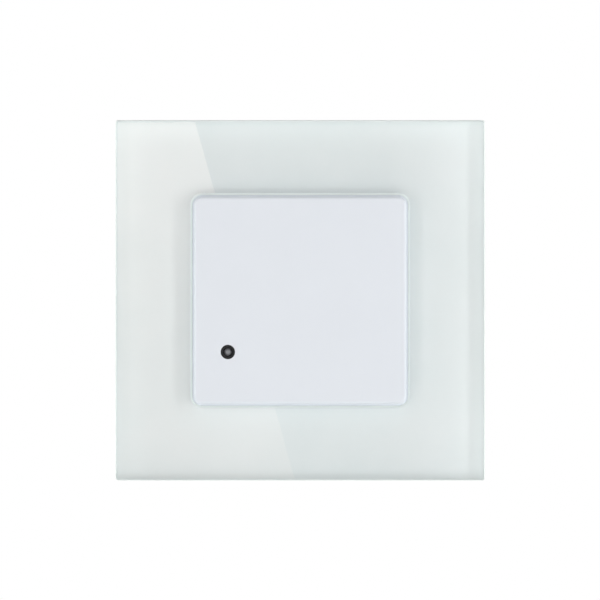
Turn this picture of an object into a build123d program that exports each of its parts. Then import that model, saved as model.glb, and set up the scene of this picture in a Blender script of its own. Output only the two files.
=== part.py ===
from build123d import *
import os

# Wall-mounted microwave motion sensor with a glass frame, in millimetres.
# X runs to the right and Z up, as seen by someone who faces the wall. The wall's
# surface is at Y 0, the room lies at negative Y and the wall box at positive Y.
# A piece's front is its end with the smaller Y, and its back the other.

# Glass frame, from the photograph
GLASS_WIDTH = 82.0
GLASS_HEIGHT = 80.0
GLASS_THICKNESS = 4.0
GLASS_CORNER = 0.6
GLASS_EDGE_ROUND = 0.5
WINDOW_WIDTH = 48.0
WINDOW_HEIGHT = 46.9
WINDOW_CORNER = 2.2
WINDOW_CHAMFER = 0.35
PRINT_INSET = 0.3
PRINT_THICKNESS = 0.2
PRINT_TO_WINDOW = 0.3
TAPE_INSET = 4.0
TAPE_THICKNESS = 0.8
CARRIER_INSET = 2.0
CARRIER_WALL = 1.8
CARRIER_WEB = 1.6
CARRIER_CORNER = 2.5
CARRIER_WINDOW_SIDE = 50.0
TAPE_FROM_WINDOW = 3.0
CARRIER_OFF_WALL = 0.3
GRIP_LENGTH = 6.0
GRIP_FIT = 0.05
SIDE_GRIP_REACH = 1.65
END_GRIP_REACH = 0.65

# Front cover, from the photograph
COVER_GAP = 0.5
COVER_PROUD = 1.0
COVER_WALL = 1.6
COVER_END_WALL = 1.05
COVER_CORNER = 1.7
COVER_EDGE_ROUND = 0.6
COVER_OVER_RIM = 0.15
COVER_STEP_DEPTH = 1.15
COVER_STEP_FIT = 0.12
COVER_OFF_FLANGE = 0.2
SENSOR_FROM_LEFT = 7.45
SENSOR_FROM_BOTTOM = 11.5
SENSOR_HOLE_RADIUS = 1.6

# Steel plate that is screwed to the wall box
PLATE_THICKNESS = 1.2
PLATE_CORNER = 4.0
BOX_SCREW_FROM_EDGE = 5.5
SLOT_LENGTH = 5.0
SLOT_WIDTH = 4.2
LUG_LENGTH = 8.0
LUG_HEIGHT = 2.0
LUG_FROM_MIDDLE = 20.0

# Chassis, the moulding in front of the plate that carries the module
FLANGE_SIDE = 52.0
FLANGE_CORNER = 3.0
FLANGE_THICKNESS = 1.2
FLANGE_TO_CARRIER = 1.0
RIM_WALL = 1.4
RIM_CORNER = 1.0
RIM_ABOVE_BOARD = 2.4
SPIGOT_WALL = 1.5
SPIGOT_DEPTH = 4.2
SPIGOT_FIT = 0.3
POST_HEIGHT = 1.2
POST_RADIUS = 2.1
POST_DEPTH_BEHIND = 2.7
POST_BACK_RADIUS = 1.55
TUBE_RADIUS = 3.2
TUBE_OFF_BOARD = 0.15
WINDOW_ROUND_PARTS = 0.5

# Housing behind the plate
HOUSING_SIDE = 46.0
HOUSING_CORNER = 10.0
HOUSING_WALL = 1.6
HOUSING_EDGE_ROUND = 1.0
HOUSING_IN_PLATE = 0.3
COMPONENT_ROOM = 16.4
BOSS_RADIUS = 3.0
VENT_COUNT = 5
VENT_LENGTH = 9.0
VENT_WIDTH = 1.4
VENT_PITCH = 4.0
VENT_Z = 12.5

# Screws
HOUSING_SCREW_X = 17.0
HOUSING_SCREW_Z = 13.5
HOUSING_SCREW_RADIUS = 1.3
HOUSING_SCREW_HEAD = 2.3
HOUSING_SCREW_HEAD_HEIGHT = 1.5
HOUSING_SCREW_REACH = 8.4
PLATE_SCREW_FROM_EDGE = 2.4
PLATE_SCREW_RADIUS = 0.95
PLATE_SCREW_HEAD = 1.8
BOARD_SCREW_FROM_EDGE = 2.4
BOARD_SCREW_RADIUS = 1.0
BOARD_SCREW_HEAD = 1.9
BOARD_SCREW_HEAD_HEIGHT = 1.2
THREAD_FIT = 0.05
HOLE_FIT = 0.15
RECESS_WIDTH = 0.55
RECESS_DEPTH = 0.7

# Front board with the radar
FRONT_BOARD_GAP = 0.35
FRONT_BOARD_CORNER = 0.8
FRONT_BOARD_THICKNESS = 1.0
PATCH_SIDE = 12.4
PATCH_FROM_MIDDLE = 9.5
PATCH_Z = 10.0
COPPER_THICKNESS = 0.1
FEED_WIDTH = 0.9
FEED_LENGTH = 4.2
SHIELD_WIDTH = 20.0
SHIELD_HEIGHT = 13.0
SHIELD_DEPTH = 2.4
SHIELD_WALL = 0.3
CHIP_WIDTH = 9.9
CHIP_HEIGHT = 3.9
CHIP_DEPTH = 1.5
CHIP_X = 0.0
CHIP_Z = -3.0
CHIP_LEGS = 8
CHIP_LEG_PITCH = 1.27
CHIP_LEG_REACH = 1.0
CHIP_LEG_WIDTH = 0.4
CHIP_LEG_THICKNESS = 0.2

# Light sensor and its black shroud
SHROUD_RADIUS = 2.5
SHROUD_OFF_COVER = 0.2
SHROUD_NOSE_FIT = 0.15
SHROUD_NOSE_RECESS = 0.7
LENS_RADIUS = 0.95
LENS_FIT = 0.1
LENS_RECESS = 0.85
SENSOR_BASE_RADIUS = 1.9
SENSOR_BASE_HEIGHT = 1.7
SENSOR_LEAD_SIDE = 0.45
SENSOR_LEAD_PITCH = 1.27
SENSOR_CUP_DEPTH = 1.3

# Trimmers for sensitivity, on-time and daylight threshold
TRIMMER_SIDE = 6.4
TRIMMER_HEIGHT = 2.6
TRIMMER_Z = -12.5
TRIMMER_FIRST_X = -6.0
TRIMMER_PITCH = 9.0
ROTOR_RADIUS = 1.85
ROTOR_FIT = 0.05
ROTOR_SEAT = 0.8
ROTOR_PROUD = 0.7
ROTOR_SLOT_WIDTH = 0.7
ROTOR_SLOT_DEPTH = 0.8

# Pin header between the two boards
HEADER_PINS = 5
HEADER_PITCH = 2.54
HEADER_WIDTH = 2.5
HEADER_STRIP_DEPTH = 2.5
HEADER_SOCKET_DEPTH = 7.1
HEADER_PIN_SIDE = 0.64
HEADER_PIN_FIT = 0.12
HEADER_PIN_REACH = 5.0
HEADER_Z = -8.5

# Power board and the legs of what is soldered to it
POWER_BOARD_GAP = 0.3
POWER_BOARD_THICKNESS = 1.6
LEG_RADIUS = 0.35
LEG_HOLE_RADIUS = 0.5
LEG_STICK_OUT = 1.0

# Terminal block with rising clamps
POLES = 3
POLE_PITCH = 7.5
BLOCK_END_WALL = 0.75
BLOCK_HEIGHT = 10.6
BLOCK_OFF_HOUSING = 0.2
WIRE_RADIUS = 1.9
WIRE_WALL = 2.6
WIRE_WINDOW_ROUND_HOLES = 1.5
WIRE_WINDOW_CORNER = 1.5
CAGE_WIDTH = 5.4
CAGE_LENGTH = 5.8
CAGE_SIDE_WALL = 0.75
CAGE_LIFT = 1.7
CAGE_FLOOR = 1.3
CAGE_NUT = 1.6
CAGE_PLAY = 0.25
WIRE_ROOM = 4.0
BAR_THICKNESS = 0.8
BAR_WIDTH = 3.4
BAR_TO_NUT = 0.6
BAR_LEG_WIDTH = 1.0
BAR_LEG_FROM_TOP = 0.4
CLAMP_TRAVEL = 2.4
CLAMP_SCREW_RADIUS = 1.4
CLAMP_SCREW_HEAD = 2.4
CLAMP_SCREW_HEAD_HEIGHT = 1.8
CLAMP_SCREW_LEDGE = 0.7
CLAMP_SCREW_TIP_GAP = 0.3
SCREWDRIVER_HOLE_RADIUS = 2.2

# Relay
RELAY_X = 0.0
RELAY_Z = -3.4
RELAY_WIDTH = 18.4
RELAY_HEIGHT = 10.2
RELAY_DEPTH = 15.2
RELAY_WALL = 0.6
RELAY_BASE = 1.4
COIL_X = -1.5
COIL_RADIUS = 3.9
COIL_CORE_RADIUS = 1.5
COIL_LENGTH = 8.6
BOBBIN_FLANGE = 0.6
BOBBIN_TUBE = 0.5
BOBBIN_FLANGE_OVER = 0.3
YOKE_THICKNESS = 1.1
YOKE_WIDTH = 6.4
YOKE_FROM_COIL = 0.5
ARMATURE_THICKNESS = 0.8
ARMATURE_EDGE_ROUND = 0.3
ARMATURE_OVER_YOKE = 0.1
POLE_GAP = 0.55
ARMATURE_OVERHANG = 1.2
CONTACT_SPRING_THICKNESS = 0.25
CONTACT_SPRING_WIDTH = 3.0
CONTACT_SPRING_REACH = 3.4
CONTACT_RADIUS = 0.9
CONTACT_HEIGHT = 0.5
CONTACT_GAP = 1.0
CONTACT_POST_THICKNESS = 0.6
CONTACT_POST_WIDTH = 3.0
RELAY_PIN_FROM_SIDE = 1.6
RELAY_PIN_FROM_END = 1.9

# Other parts on the power board
FILM_CAP_X = -5.5
FILM_CAP_Z = 17.2
FILM_CAP_WIDTH = 13.0
FILM_CAP_HEIGHT = 5.0
FILM_CAP_DEPTH = 11.0
FILM_CAP_ROUND = 0.6
FILM_CAP_LEG_PITCH = 10.0
BIG_CAP_X = 5.2
BIG_CAP_Z = 7.4
BIG_CAP_RADIUS = 4.0
BIG_CAP_DEPTH = 12.0
SMALL_CAP_X = 5.6
SMALL_CAP_Z = 16.2
SMALL_CAP_RADIUS = 3.15
SMALL_CAP_DEPTH = 9.0
CAP_ROUND = 0.5
CAP_LEG_PITCH = 2.5
VARISTOR_X = 12.0
VARISTOR_Z = 5.8
VARISTOR_RADIUS = 4.1
VARISTOR_THICKNESS = 3.2
VARISTOR_LIFT = 0.6
VARISTOR_ROUND = 0.9
FUSE_X = -16.4
FUSE_Z = 1.0
FUSE_RADIUS = 4.1
FUSE_DEPTH = 7.8
FUSE_LEG_PITCH = 5.0
CHOKE_X = 15.8
CHOKE_Z = -3.0
CHOKE_RADIUS = 3.9
CHOKE_DEPTH = 9.0
CHOKE_FLANGE = 1.2
CHOKE_NECK_RADIUS = 2.0
CHOKE_WIRE_INSET = 0.5
CORE_X = -6.5
CORE_Z = 8.4
CORE_WIDTH = 11.0
CORE_HEIGHT = 5.0
CORE_DEPTH = 10.2
CORE_LIMB = 1.6
BOBBIN_HEIGHT = 9.4
BOBBIN_WALL = 0.7
BOBBIN_FOOT = 1.2
BOBBIN_LEG_PITCH = 2.5

# Chip parts on the front faces of both boards, in upright rows
SMALL_CHIP_WIDTH = 1.6
SMALL_CHIP_HEIGHT = 0.8
SMALL_CHIP_DEPTH = 0.5
CERAMIC_CHIP_WIDTH = 2.0
CERAMIC_CHIP_HEIGHT = 1.2
CERAMIC_CHIP_DEPTH = 0.6
CHIP_ROW_PITCH = 2.5
SMALL_CHIP_X = 18.0
LEFT_SMALL_CHIPS = 3
RIGHT_SMALL_CHIPS = 4
LEFT_SMALL_CHIPS_Z = -1.5
RIGHT_SMALL_CHIPS_Z = -2.25
CERAMIC_CHIP_X = 11.5
LEFT_CERAMIC_CHIPS = 3
RIGHT_CERAMIC_CHIPS = 2
LEFT_CERAMIC_CHIPS_Z = -4.0
RIGHT_CERAMIC_CHIPS_Z = -3.25
LARGE_CHIP_WIDTH = 3.2
LARGE_CHIP_HEIGHT = 1.6
LARGE_CHIP_DEPTH = 0.6
LARGE_CHIP_PITCH = 3.0
LARGE_CHIP_X = 16.5
LARGE_CHIPS = 2
LEFT_LARGE_CHIPS_Z = -6.0
RIGHT_LARGE_CHIPS_Z = 4.5
RECTIFIER_WIDTH = 4.7
RECTIFIER_HEIGHT = 4.0
RECTIFIER_DEPTH = 2.5
RECTIFIER_X = 1.0
RECTIFIER_Z = -3.5
REGULATOR_WIDTH = 4.9
REGULATOR_HEIGHT = 3.9
REGULATOR_DEPTH = 1.5
REGULATOR_X = -12.0
REGULATOR_Z = -6.0
DIODE_WIDTH = 6.5
DIODE_HEIGHT = 2.2
DIODE_X = 13.5
DIODE_Z = -8.0

# Depths, worked out from the wall forwards and backwards
PLATE_FRONT = -PLATE_THICKNESS
FLANGE_FRONT = PLATE_FRONT - FLANGE_THICKNESS
WEB_BACK = FLANGE_FRONT - FLANGE_TO_CARRIER
WEB_FRONT = WEB_BACK - CARRIER_WEB
TAPE_FRONT = WEB_FRONT - TAPE_THICKNESS
PRINT_FRONT = TAPE_FRONT - PRINT_THICKNESS
GLASS_FRONT = PRINT_FRONT - GLASS_THICKNESS
COVER_FRONT = GLASS_FRONT - COVER_PROUD
COVER_INSIDE = COVER_FRONT + COVER_WALL
FRONT_BOARD_BACK = FLANGE_FRONT - POST_HEIGHT
FRONT_BOARD_FRONT = FRONT_BOARD_BACK - FRONT_BOARD_THICKNESS
RIM_FRONT = FRONT_BOARD_FRONT - RIM_ABOVE_BOARD
SOCKET_FRONT = FRONT_BOARD_BACK + HEADER_STRIP_DEPTH
POWER_BOARD_FRONT = SOCKET_FRONT + HEADER_SOCKET_DEPTH
POWER_BOARD_BACK = POWER_BOARD_FRONT + POWER_BOARD_THICKNESS
REAR_WALL_INSIDE = POWER_BOARD_BACK + COMPONENT_ROOM
REAR_FACE = REAR_WALL_INSIDE + HOUSING_WALL
LEG_END = POWER_BOARD_FRONT - LEG_STICK_OUT

# Widths that follow from the fits
COVER_WIDTH = WINDOW_WIDTH - 2 * COVER_GAP
COVER_HEIGHT = WINDOW_HEIGHT - 2 * COVER_GAP
COVER_INSIDE_WIDTH = COVER_WIDTH - 2 * COVER_WALL
COVER_INSIDE_HEIGHT = COVER_HEIGHT - 2 * COVER_END_WALL
COVER_SKIRT_WIDTH = WINDOW_WIDTH - 2 * COVER_STEP_FIT
COVER_SKIRT_HEIGHT = WINDOW_HEIGHT - 2 * COVER_STEP_FIT
COVER_SKIRT_CORNER = WINDOW_CORNER - COVER_STEP_FIT
RIM_WIDTH = COVER_INSIDE_WIDTH - 2 * COVER_OVER_RIM
RIM_HEIGHT = COVER_INSIDE_HEIGHT - 2 * COVER_OVER_RIM
FRONT_BOARD_WIDTH = RIM_WIDTH - 2 * RIM_WALL - 2 * FRONT_BOARD_GAP
FRONT_BOARD_HEIGHT = RIM_HEIGHT - 2 * RIM_WALL - 2 * FRONT_BOARD_GAP
HOUSING_INSIDE_SIDE = HOUSING_SIDE - 2 * HOUSING_WALL
HOUSING_INSIDE_CORNER = HOUSING_CORNER - HOUSING_WALL
SPIGOT_SIDE = HOUSING_INSIDE_SIDE - 2 * SPIGOT_FIT
SPIGOT_CORNER = HOUSING_INSIDE_CORNER - SPIGOT_FIT
POWER_BOARD_SIDE = HOUSING_INSIDE_SIDE - 2 * POWER_BOARD_GAP
POWER_BOARD_CORNER = HOUSING_INSIDE_CORNER - POWER_BOARD_GAP
CARRIER_WIDTH = GLASS_WIDTH - 2 * CARRIER_INSET
CARRIER_HEIGHT = GLASS_HEIGHT - 2 * CARRIER_INSET
HOUSING_BOTTOM_INSIDE = -HOUSING_INSIDE_SIDE / 2
PLATE_WIDTH = CARRIER_WIDTH - 2 * (CARRIER_WALL + SIDE_GRIP_REACH + GRIP_FIT)
PLATE_HEIGHT = CARRIER_HEIGHT - 2 * (CARRIER_WALL + END_GRIP_REACH + GRIP_FIT)

# Places that follow from the edges
BOX_SCREW_X = PLATE_WIDTH / 2 - BOX_SCREW_FROM_EDGE
BOX_SCREW_Z = PLATE_HEIGHT / 2 - BOX_SCREW_FROM_EDGE
SENSOR_X = SENSOR_FROM_LEFT - COVER_WIDTH / 2
SENSOR_Z = SENSOR_FROM_BOTTOM - COVER_HEIGHT / 2
BOARD_SCREW_X = FRONT_BOARD_WIDTH / 2 - BOARD_SCREW_FROM_EDGE
BOARD_SCREW_Z = FRONT_BOARD_HEIGHT / 2 - BOARD_SCREW_FROM_EDGE
RELAY_PIN_X = RELAY_WIDTH / 2 - RELAY_PIN_FROM_SIDE
RELAY_PIN_Z = RELAY_HEIGHT / 2 - RELAY_PIN_FROM_END

# Places where a piece repeats
HOUSING_SCREWS = [
    (side * HOUSING_SCREW_X, level * HOUSING_SCREW_Z) for side in (-1, 1) for level in (-1, 1)
]
BOARD_SCREWS = [
    (side * BOARD_SCREW_X, level * BOARD_SCREW_Z) for side in (-1, 1) for level in (-1, 1)
]
PLATE_SCREW_PLACE = FLANGE_SIDE / 2 - PLATE_SCREW_FROM_EDGE
PLATE_SCREWS = [
    (side * PLATE_SCREW_PLACE, level * PLATE_SCREW_PLACE) for side in (-1, 1) for level in (-1, 1)
]
TRIMMERS = [TRIMMER_FIRST_X + TRIMMER_PITCH * n for n in range(3)]
POLE_CENTRES = [POLE_PITCH * (n - (POLES - 1) / 2) for n in range(POLES)]
HEADER_PLACES = [HEADER_PITCH * (n - (HEADER_PINS - 1) / 2) for n in range(HEADER_PINS)]


def block(width, height, front, back, x=0.0, z=0.0):
    """A square-edged block between two depths."""
    return Pos(x, (front + back) / 2, z) * Box(width, back - front, height)


def slab(width, height, corner, front, back, x=0.0, z=0.0):
    """A block with rounded corners, as seen from the front."""
    outline = Plane.XZ * RectangleRounded(width, height, corner)
    return Pos(x, back, z) * extrude(outline, back - front)


def rod(radius, front, back, x=0.0, z=0.0):
    """A cylinder that runs from front to back."""
    return Pos(x, back, z) * extrude(Plane.XZ * Circle(radius), back - front)


def rods(radius, front, back, places):
    """One cylinder at each place, as one tool for adding or cutting."""
    return Part() + [rod(radius, front, back, x, z) for x, z in places]


def slot(length, width, front, back, x, z, upright=False):
    """A slot with round ends, as a tool for cutting."""
    outline = Plane.XZ * SlotOverall(length, width, rotation=90 if upright else 0)
    return Pos(x, back, z) * extrude(outline, back - front)


def round_end(piece, radius, back=False):
    """Rounds the edges of a piece's front face, or of its back face."""
    face = piece.faces().sort_by(Axis.Y)[-1 if back else 0]
    return fillet(face.edges(), radius)


def cross_recess(reach, front, depth, x, z):
    """The cross that a screwdriver fits, sunk from a depth towards the back."""
    bars = block(2 * reach, RECESS_WIDTH, front, front + depth, x, z)
    return bars + block(RECESS_WIDTH, 2 * reach, front, front + depth, x, z)


def save(name, *pieces):
    """Writes a piece, or a group of like pieces, to its own file."""
    solids = [solid for piece in pieces for solid in piece.solids()]
    export_step(Compound(solids), f"parts/{name}.step")


def glass_panel():
    """Toughened glass with ground edges and a window for the cover."""
    panel = slab(GLASS_WIDTH, GLASS_HEIGHT, GLASS_CORNER, GLASS_FRONT, PRINT_FRONT)
    panel = round_end(panel, GLASS_EDGE_ROUND)
    panel -= slab(WINDOW_WIDTH, WINDOW_HEIGHT, WINDOW_CORNER, GLASS_FRONT, PRINT_FRONT)
    rim = [
        edge
        for edge in panel.edges().filter_by_position(Axis.Y, GLASS_FRONT, GLASS_FRONT)
        if abs(edge.center().X) < WINDOW_WIDTH / 2 + WINDOW_CHAMFER
        and abs(edge.center().Z) < WINDOW_HEIGHT / 2 + WINDOW_CHAMFER
    ]
    return chamfer(rim, WINDOW_CHAMFER)


def back_print():
    """White print on the back of the glass, short of its ground edges."""
    width = GLASS_WIDTH - 2 * PRINT_INSET
    height = GLASS_HEIGHT - 2 * PRINT_INSET
    hole_width = WINDOW_WIDTH + 2 * PRINT_TO_WINDOW
    hole_height = WINDOW_HEIGHT + 2 * PRINT_TO_WINDOW
    layer = slab(width, height, GLASS_CORNER, PRINT_FRONT, TAPE_FRONT)
    return layer - slab(hole_width, hole_height, WINDOW_CORNER, PRINT_FRONT, TAPE_FRONT)


def glass_tape():
    """Foam tape ring that holds the glass on its carrier."""
    width = GLASS_WIDTH - 2 * TAPE_INSET
    height = GLASS_HEIGHT - 2 * TAPE_INSET
    ring = slab(width, height, GLASS_CORNER, TAPE_FRONT, WEB_FRONT)
    inner = CARRIER_WINDOW_SIDE + 2 * TAPE_FROM_WINDOW
    return ring - slab(inner, inner, GLASS_CORNER, TAPE_FRONT, WEB_FRONT)


def glass_carrier():
    """Moulded frame behind the glass, open to the wall, that grips the plate's lugs."""
    frame = slab(CARRIER_WIDTH, CARRIER_HEIGHT, CARRIER_CORNER, WEB_FRONT, -CARRIER_OFF_WALL)
    frame -= slab(
        CARRIER_WIDTH - 2 * CARRIER_WALL,
        CARRIER_HEIGHT - 2 * CARRIER_WALL,
        CARRIER_CORNER - CARRIER_WALL,
        WEB_BACK,
        -CARRIER_OFF_WALL,
    )
    frame -= slab(
        CARRIER_WINDOW_SIDE, CARRIER_WINDOW_SIDE, WINDOW_CORNER, WEB_FRONT, WEB_BACK
    )
    for side in (-1, 1):
        x = side * (PLATE_WIDTH / 2 + GRIP_FIT + SIDE_GRIP_REACH / 2)
        z = side * (PLATE_HEIGHT / 2 + GRIP_FIT + END_GRIP_REACH / 2)
        for place in (-LUG_FROM_MIDDLE, LUG_FROM_MIDDLE):
            frame += block(SIDE_GRIP_REACH, GRIP_LENGTH, WEB_BACK, PLATE_FRONT, x, place)
            frame += block(GRIP_LENGTH, END_GRIP_REACH, WEB_BACK, PLATE_FRONT, place, z)
    return frame


def mounting_plate():
    """Zinc-plated steel plate with slots for the wall box screws and folded lugs."""
    plate = slab(PLATE_WIDTH, PLATE_HEIGHT, PLATE_CORNER, PLATE_FRONT, 0.0)
    opening = HOUSING_SIDE + 2 * HOUSING_IN_PLATE
    corner = HOUSING_CORNER + HOUSING_IN_PLATE
    plate -= slab(opening, opening, corner, PLATE_FRONT, 0.0)
    lug_front = PLATE_FRONT - LUG_HEIGHT
    for side in (-1, 1):
        plate -= slot(SLOT_LENGTH, SLOT_WIDTH, PLATE_FRONT, 0.0, side * BOX_SCREW_X, 0.0)
        plate -= slot(
            SLOT_LENGTH, SLOT_WIDTH, PLATE_FRONT, 0.0, 0.0, side * BOX_SCREW_Z, upright=True
        )
        x = side * (PLATE_WIDTH - PLATE_THICKNESS) / 2
        z = side * (PLATE_HEIGHT - PLATE_THICKNESS) / 2
        for place in (-LUG_FROM_MIDDLE, LUG_FROM_MIDDLE):
            plate += block(PLATE_THICKNESS, LUG_LENGTH, lug_front, PLATE_FRONT, x, place)
            plate += block(LUG_LENGTH, PLATE_THICKNESS, lug_front, PLATE_FRONT, place, z)
    return plate - rods(PLATE_SCREW_RADIUS + THREAD_FIT, PLATE_FRONT, 0.0, PLATE_SCREWS)


def front_cover():
    """White cap with the light sensor's hole, pushed over the chassis rim. A step in its skirt
    fills most of the gap to the glass."""
    back = FLANGE_FRONT - COVER_OFF_FLANGE
    cover = slab(COVER_WIDTH, COVER_HEIGHT, COVER_CORNER, COVER_FRONT, back)
    cover = round_end(cover, COVER_EDGE_ROUND)
    step_front = COVER_FRONT + COVER_STEP_DEPTH
    cover += slab(COVER_SKIRT_WIDTH, COVER_SKIRT_HEIGHT, COVER_SKIRT_CORNER, step_front, back)
    cover -= slab(COVER_INSIDE_WIDTH, COVER_INSIDE_HEIGHT, RIM_CORNER, COVER_INSIDE, back)
    return cover - rod(SENSOR_HOLE_RADIUS, COVER_FRONT, COVER_INSIDE, SENSOR_X, SENSOR_Z)


def chassis():
    """Flange on the plate, a rim for the cover, posts for the front board, tubes for the
    housing screws and a spigot that fits inside the rear housing."""
    body = slab(FLANGE_SIDE, FLANGE_SIDE, FLANGE_CORNER, FLANGE_FRONT, PLATE_FRONT)
    body += slab(RIM_WIDTH, RIM_HEIGHT, RIM_CORNER, RIM_FRONT, FLANGE_FRONT)
    pocket_width = RIM_WIDTH - 2 * RIM_WALL
    pocket_height = RIM_HEIGHT - 2 * RIM_WALL
    body -= slab(pocket_width, pocket_height, RIM_CORNER, RIM_FRONT, FLANGE_FRONT)
    spigot_back = PLATE_FRONT + SPIGOT_DEPTH
    spigot = slab(SPIGOT_SIDE, SPIGOT_SIDE, SPIGOT_CORNER, PLATE_FRONT, spigot_back)
    bore = SPIGOT_SIDE - 2 * SPIGOT_WALL
    spigot -= slab(bore, bore, SPIGOT_CORNER - SPIGOT_WALL, PLATE_FRONT, spigot_back)
    body += spigot
    body += rods(TUBE_RADIUS, PLATE_FRONT, POWER_BOARD_FRONT - TUBE_OFF_BOARD, HOUSING_SCREWS)
    body += rods(POST_RADIUS, FRONT_BOARD_BACK, FLANGE_FRONT, BOARD_SCREWS)
    post_end = PLATE_FRONT + POST_DEPTH_BEHIND
    body += rods(POST_BACK_RADIUS, PLATE_FRONT, post_end, BOARD_SCREWS)
    body -= rods(BOARD_SCREW_RADIUS + THREAD_FIT, FRONT_BOARD_BACK, post_end, BOARD_SCREWS)
    head_seat = FLANGE_FRONT + HOUSING_SCREW_HEAD_HEIGHT
    body -= rods(HOUSING_SCREW_HEAD + HOLE_FIT, FLANGE_FRONT, head_seat, HOUSING_SCREWS)
    body -= rods(
        HOUSING_SCREW_RADIUS + HOLE_FIT, head_seat, POWER_BOARD_FRONT, HOUSING_SCREWS
    )
    body -= block(
        SHIELD_WIDTH + 2 * WINDOW_ROUND_PARTS,
        SHIELD_HEIGHT + 2 * WINDOW_ROUND_PARTS,
        FLANGE_FRONT,
        PLATE_FRONT,
        0.0,
        PATCH_Z,
    )
    body -= block(
        HEADER_PINS * HEADER_PITCH + 2 * WINDOW_ROUND_PARTS,
        HEADER_WIDTH + 2 * WINDOW_ROUND_PARTS,
        FLANGE_FRONT,
        PLATE_FRONT,
        0.0,
        HEADER_Z,
    )
    for x, z in PLATE_SCREWS:
        body -= countersunk(x, z, HOLE_FIT)
    return body


def countersunk(x, z, fit):
    """A countersunk screw's head and shank, grown by a fit where it makes a hole."""
    head_back = FLANGE_FRONT + PLATE_SCREW_HEAD - PLATE_SCREW_RADIUS
    cone = Pos(x, (FLANGE_FRONT + head_back) / 2, z) * Rot(90, 0, 0) * Cone(
        PLATE_SCREW_RADIUS + fit, PLATE_SCREW_HEAD + fit, head_back - FLANGE_FRONT
    )
    end = PLATE_FRONT if fit else PLATE_FRONT + PLATE_THICKNESS - HOLE_FIT
    return cone + rod(PLATE_SCREW_RADIUS + fit, head_back, end, x, z)


def plate_screws():
    """Four countersunk screws that hold the chassis on the steel plate."""
    reach = PLATE_SCREW_HEAD - RECESS_WIDTH
    return [
        countersunk(x, z, 0.0) - cross_recess(reach, FLANGE_FRONT, RECESS_DEPTH, x, z)
        for x, z in PLATE_SCREWS
    ]


def rear_housing():
    """Tub that goes into the wall box, with bosses, a window under the terminal block
    for the wires, screwdriver holes and vents."""
    tub = slab(HOUSING_SIDE, HOUSING_SIDE, HOUSING_CORNER, PLATE_FRONT, REAR_FACE)
    tub = round_end(tub, HOUSING_EDGE_ROUND, back=True)
    tub -= slab(
        HOUSING_INSIDE_SIDE,
        HOUSING_INSIDE_SIDE,
        HOUSING_INSIDE_CORNER,
        PLATE_FRONT,
        REAR_WALL_INSIDE,
    )
    tub += rods(BOSS_RADIUS, POWER_BOARD_BACK, REAR_WALL_INSIDE, HOUSING_SCREWS)
    screw_end = POWER_BOARD_BACK + HOUSING_SCREW_REACH
    tub -= rods(
        HOUSING_SCREW_RADIUS + THREAD_FIT,
        POWER_BOARD_BACK,
        screw_end + THREAD_FIT,
        HOUSING_SCREWS,
    )
    for x in POLE_CENTRES:
        tub -= rod(SCREWDRIVER_HOLE_RADIUS, REAR_WALL_INSIDE, REAR_FACE, x, clamp_screw_z())
    for n in range(VENT_COUNT):
        x = VENT_PITCH * (n - (VENT_COUNT - 1) / 2)
        tub -= slot(
            VENT_LENGTH, VENT_WIDTH, REAR_WALL_INSIDE, REAR_FACE, x, VENT_Z, upright=True
        )
    return tub - wire_window()


def wire_window():
    """Opening in the housing's bottom wall, as a tool for cutting."""
    length = (POLES - 1) * POLE_PITCH + 2 * (WIRE_RADIUS + WIRE_WINDOW_ROUND_HOLES)
    height = 2 * (WIRE_RADIUS + WIRE_WINDOW_ROUND_HOLES)
    outline = RectangleRounded(length, height, WIRE_WINDOW_CORNER)
    return Pos(0, wire_axis_y(), -HOUSING_SIDE / 2) * extrude(outline, HOUSING_WALL)


def housing_screws():
    """Four long screws from the chassis, through the power board, into the bosses."""
    screws = []
    for x, z in HOUSING_SCREWS:
        seat = FLANGE_FRONT + HOUSING_SCREW_HEAD_HEIGHT
        screw = rod(HOUSING_SCREW_HEAD, FLANGE_FRONT, seat, x, z)
        screw += rod(HOUSING_SCREW_RADIUS, seat, POWER_BOARD_BACK + HOUSING_SCREW_REACH, x, z)
        reach = HOUSING_SCREW_HEAD - RECESS_WIDTH
        screws.append(screw - cross_recess(reach, FLANGE_FRONT, RECESS_DEPTH, x, z))
    return screws


def board_screws():
    """Four small screws that hold the front board on its posts."""
    screws = []
    for x, z in BOARD_SCREWS:
        head = FRONT_BOARD_FRONT - BOARD_SCREW_HEAD_HEIGHT
        end = PLATE_FRONT + POST_DEPTH_BEHIND - HOLE_FIT
        screw = rod(BOARD_SCREW_HEAD, head, FRONT_BOARD_FRONT, x, z)
        screw += rod(BOARD_SCREW_RADIUS, FRONT_BOARD_FRONT, end, x, z)
        reach = BOARD_SCREW_HEAD - RECESS_WIDTH
        screws.append(screw - cross_recess(reach, head, RECESS_DEPTH, x, z))
    return screws


def front_board():
    """Radar board that stands on the chassis posts, square to the wall."""
    board = slab(
        FRONT_BOARD_WIDTH,
        FRONT_BOARD_HEIGHT,
        FRONT_BOARD_CORNER,
        FRONT_BOARD_FRONT,
        FRONT_BOARD_BACK,
    )
    span = (FRONT_BOARD_FRONT, FRONT_BOARD_BACK)
    board -= rods(BOARD_SCREW_RADIUS + HOLE_FIT, *span, BOARD_SCREWS)
    pins = [(x, HEADER_Z) for x in HEADER_PLACES]
    board -= rods(HEADER_PIN_SIDE, *span, pins)
    leads = [(x, SENSOR_Z) for x in sensor_lead_places()]
    return board - rods(SENSOR_LEAD_SIDE, *span, leads)


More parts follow.
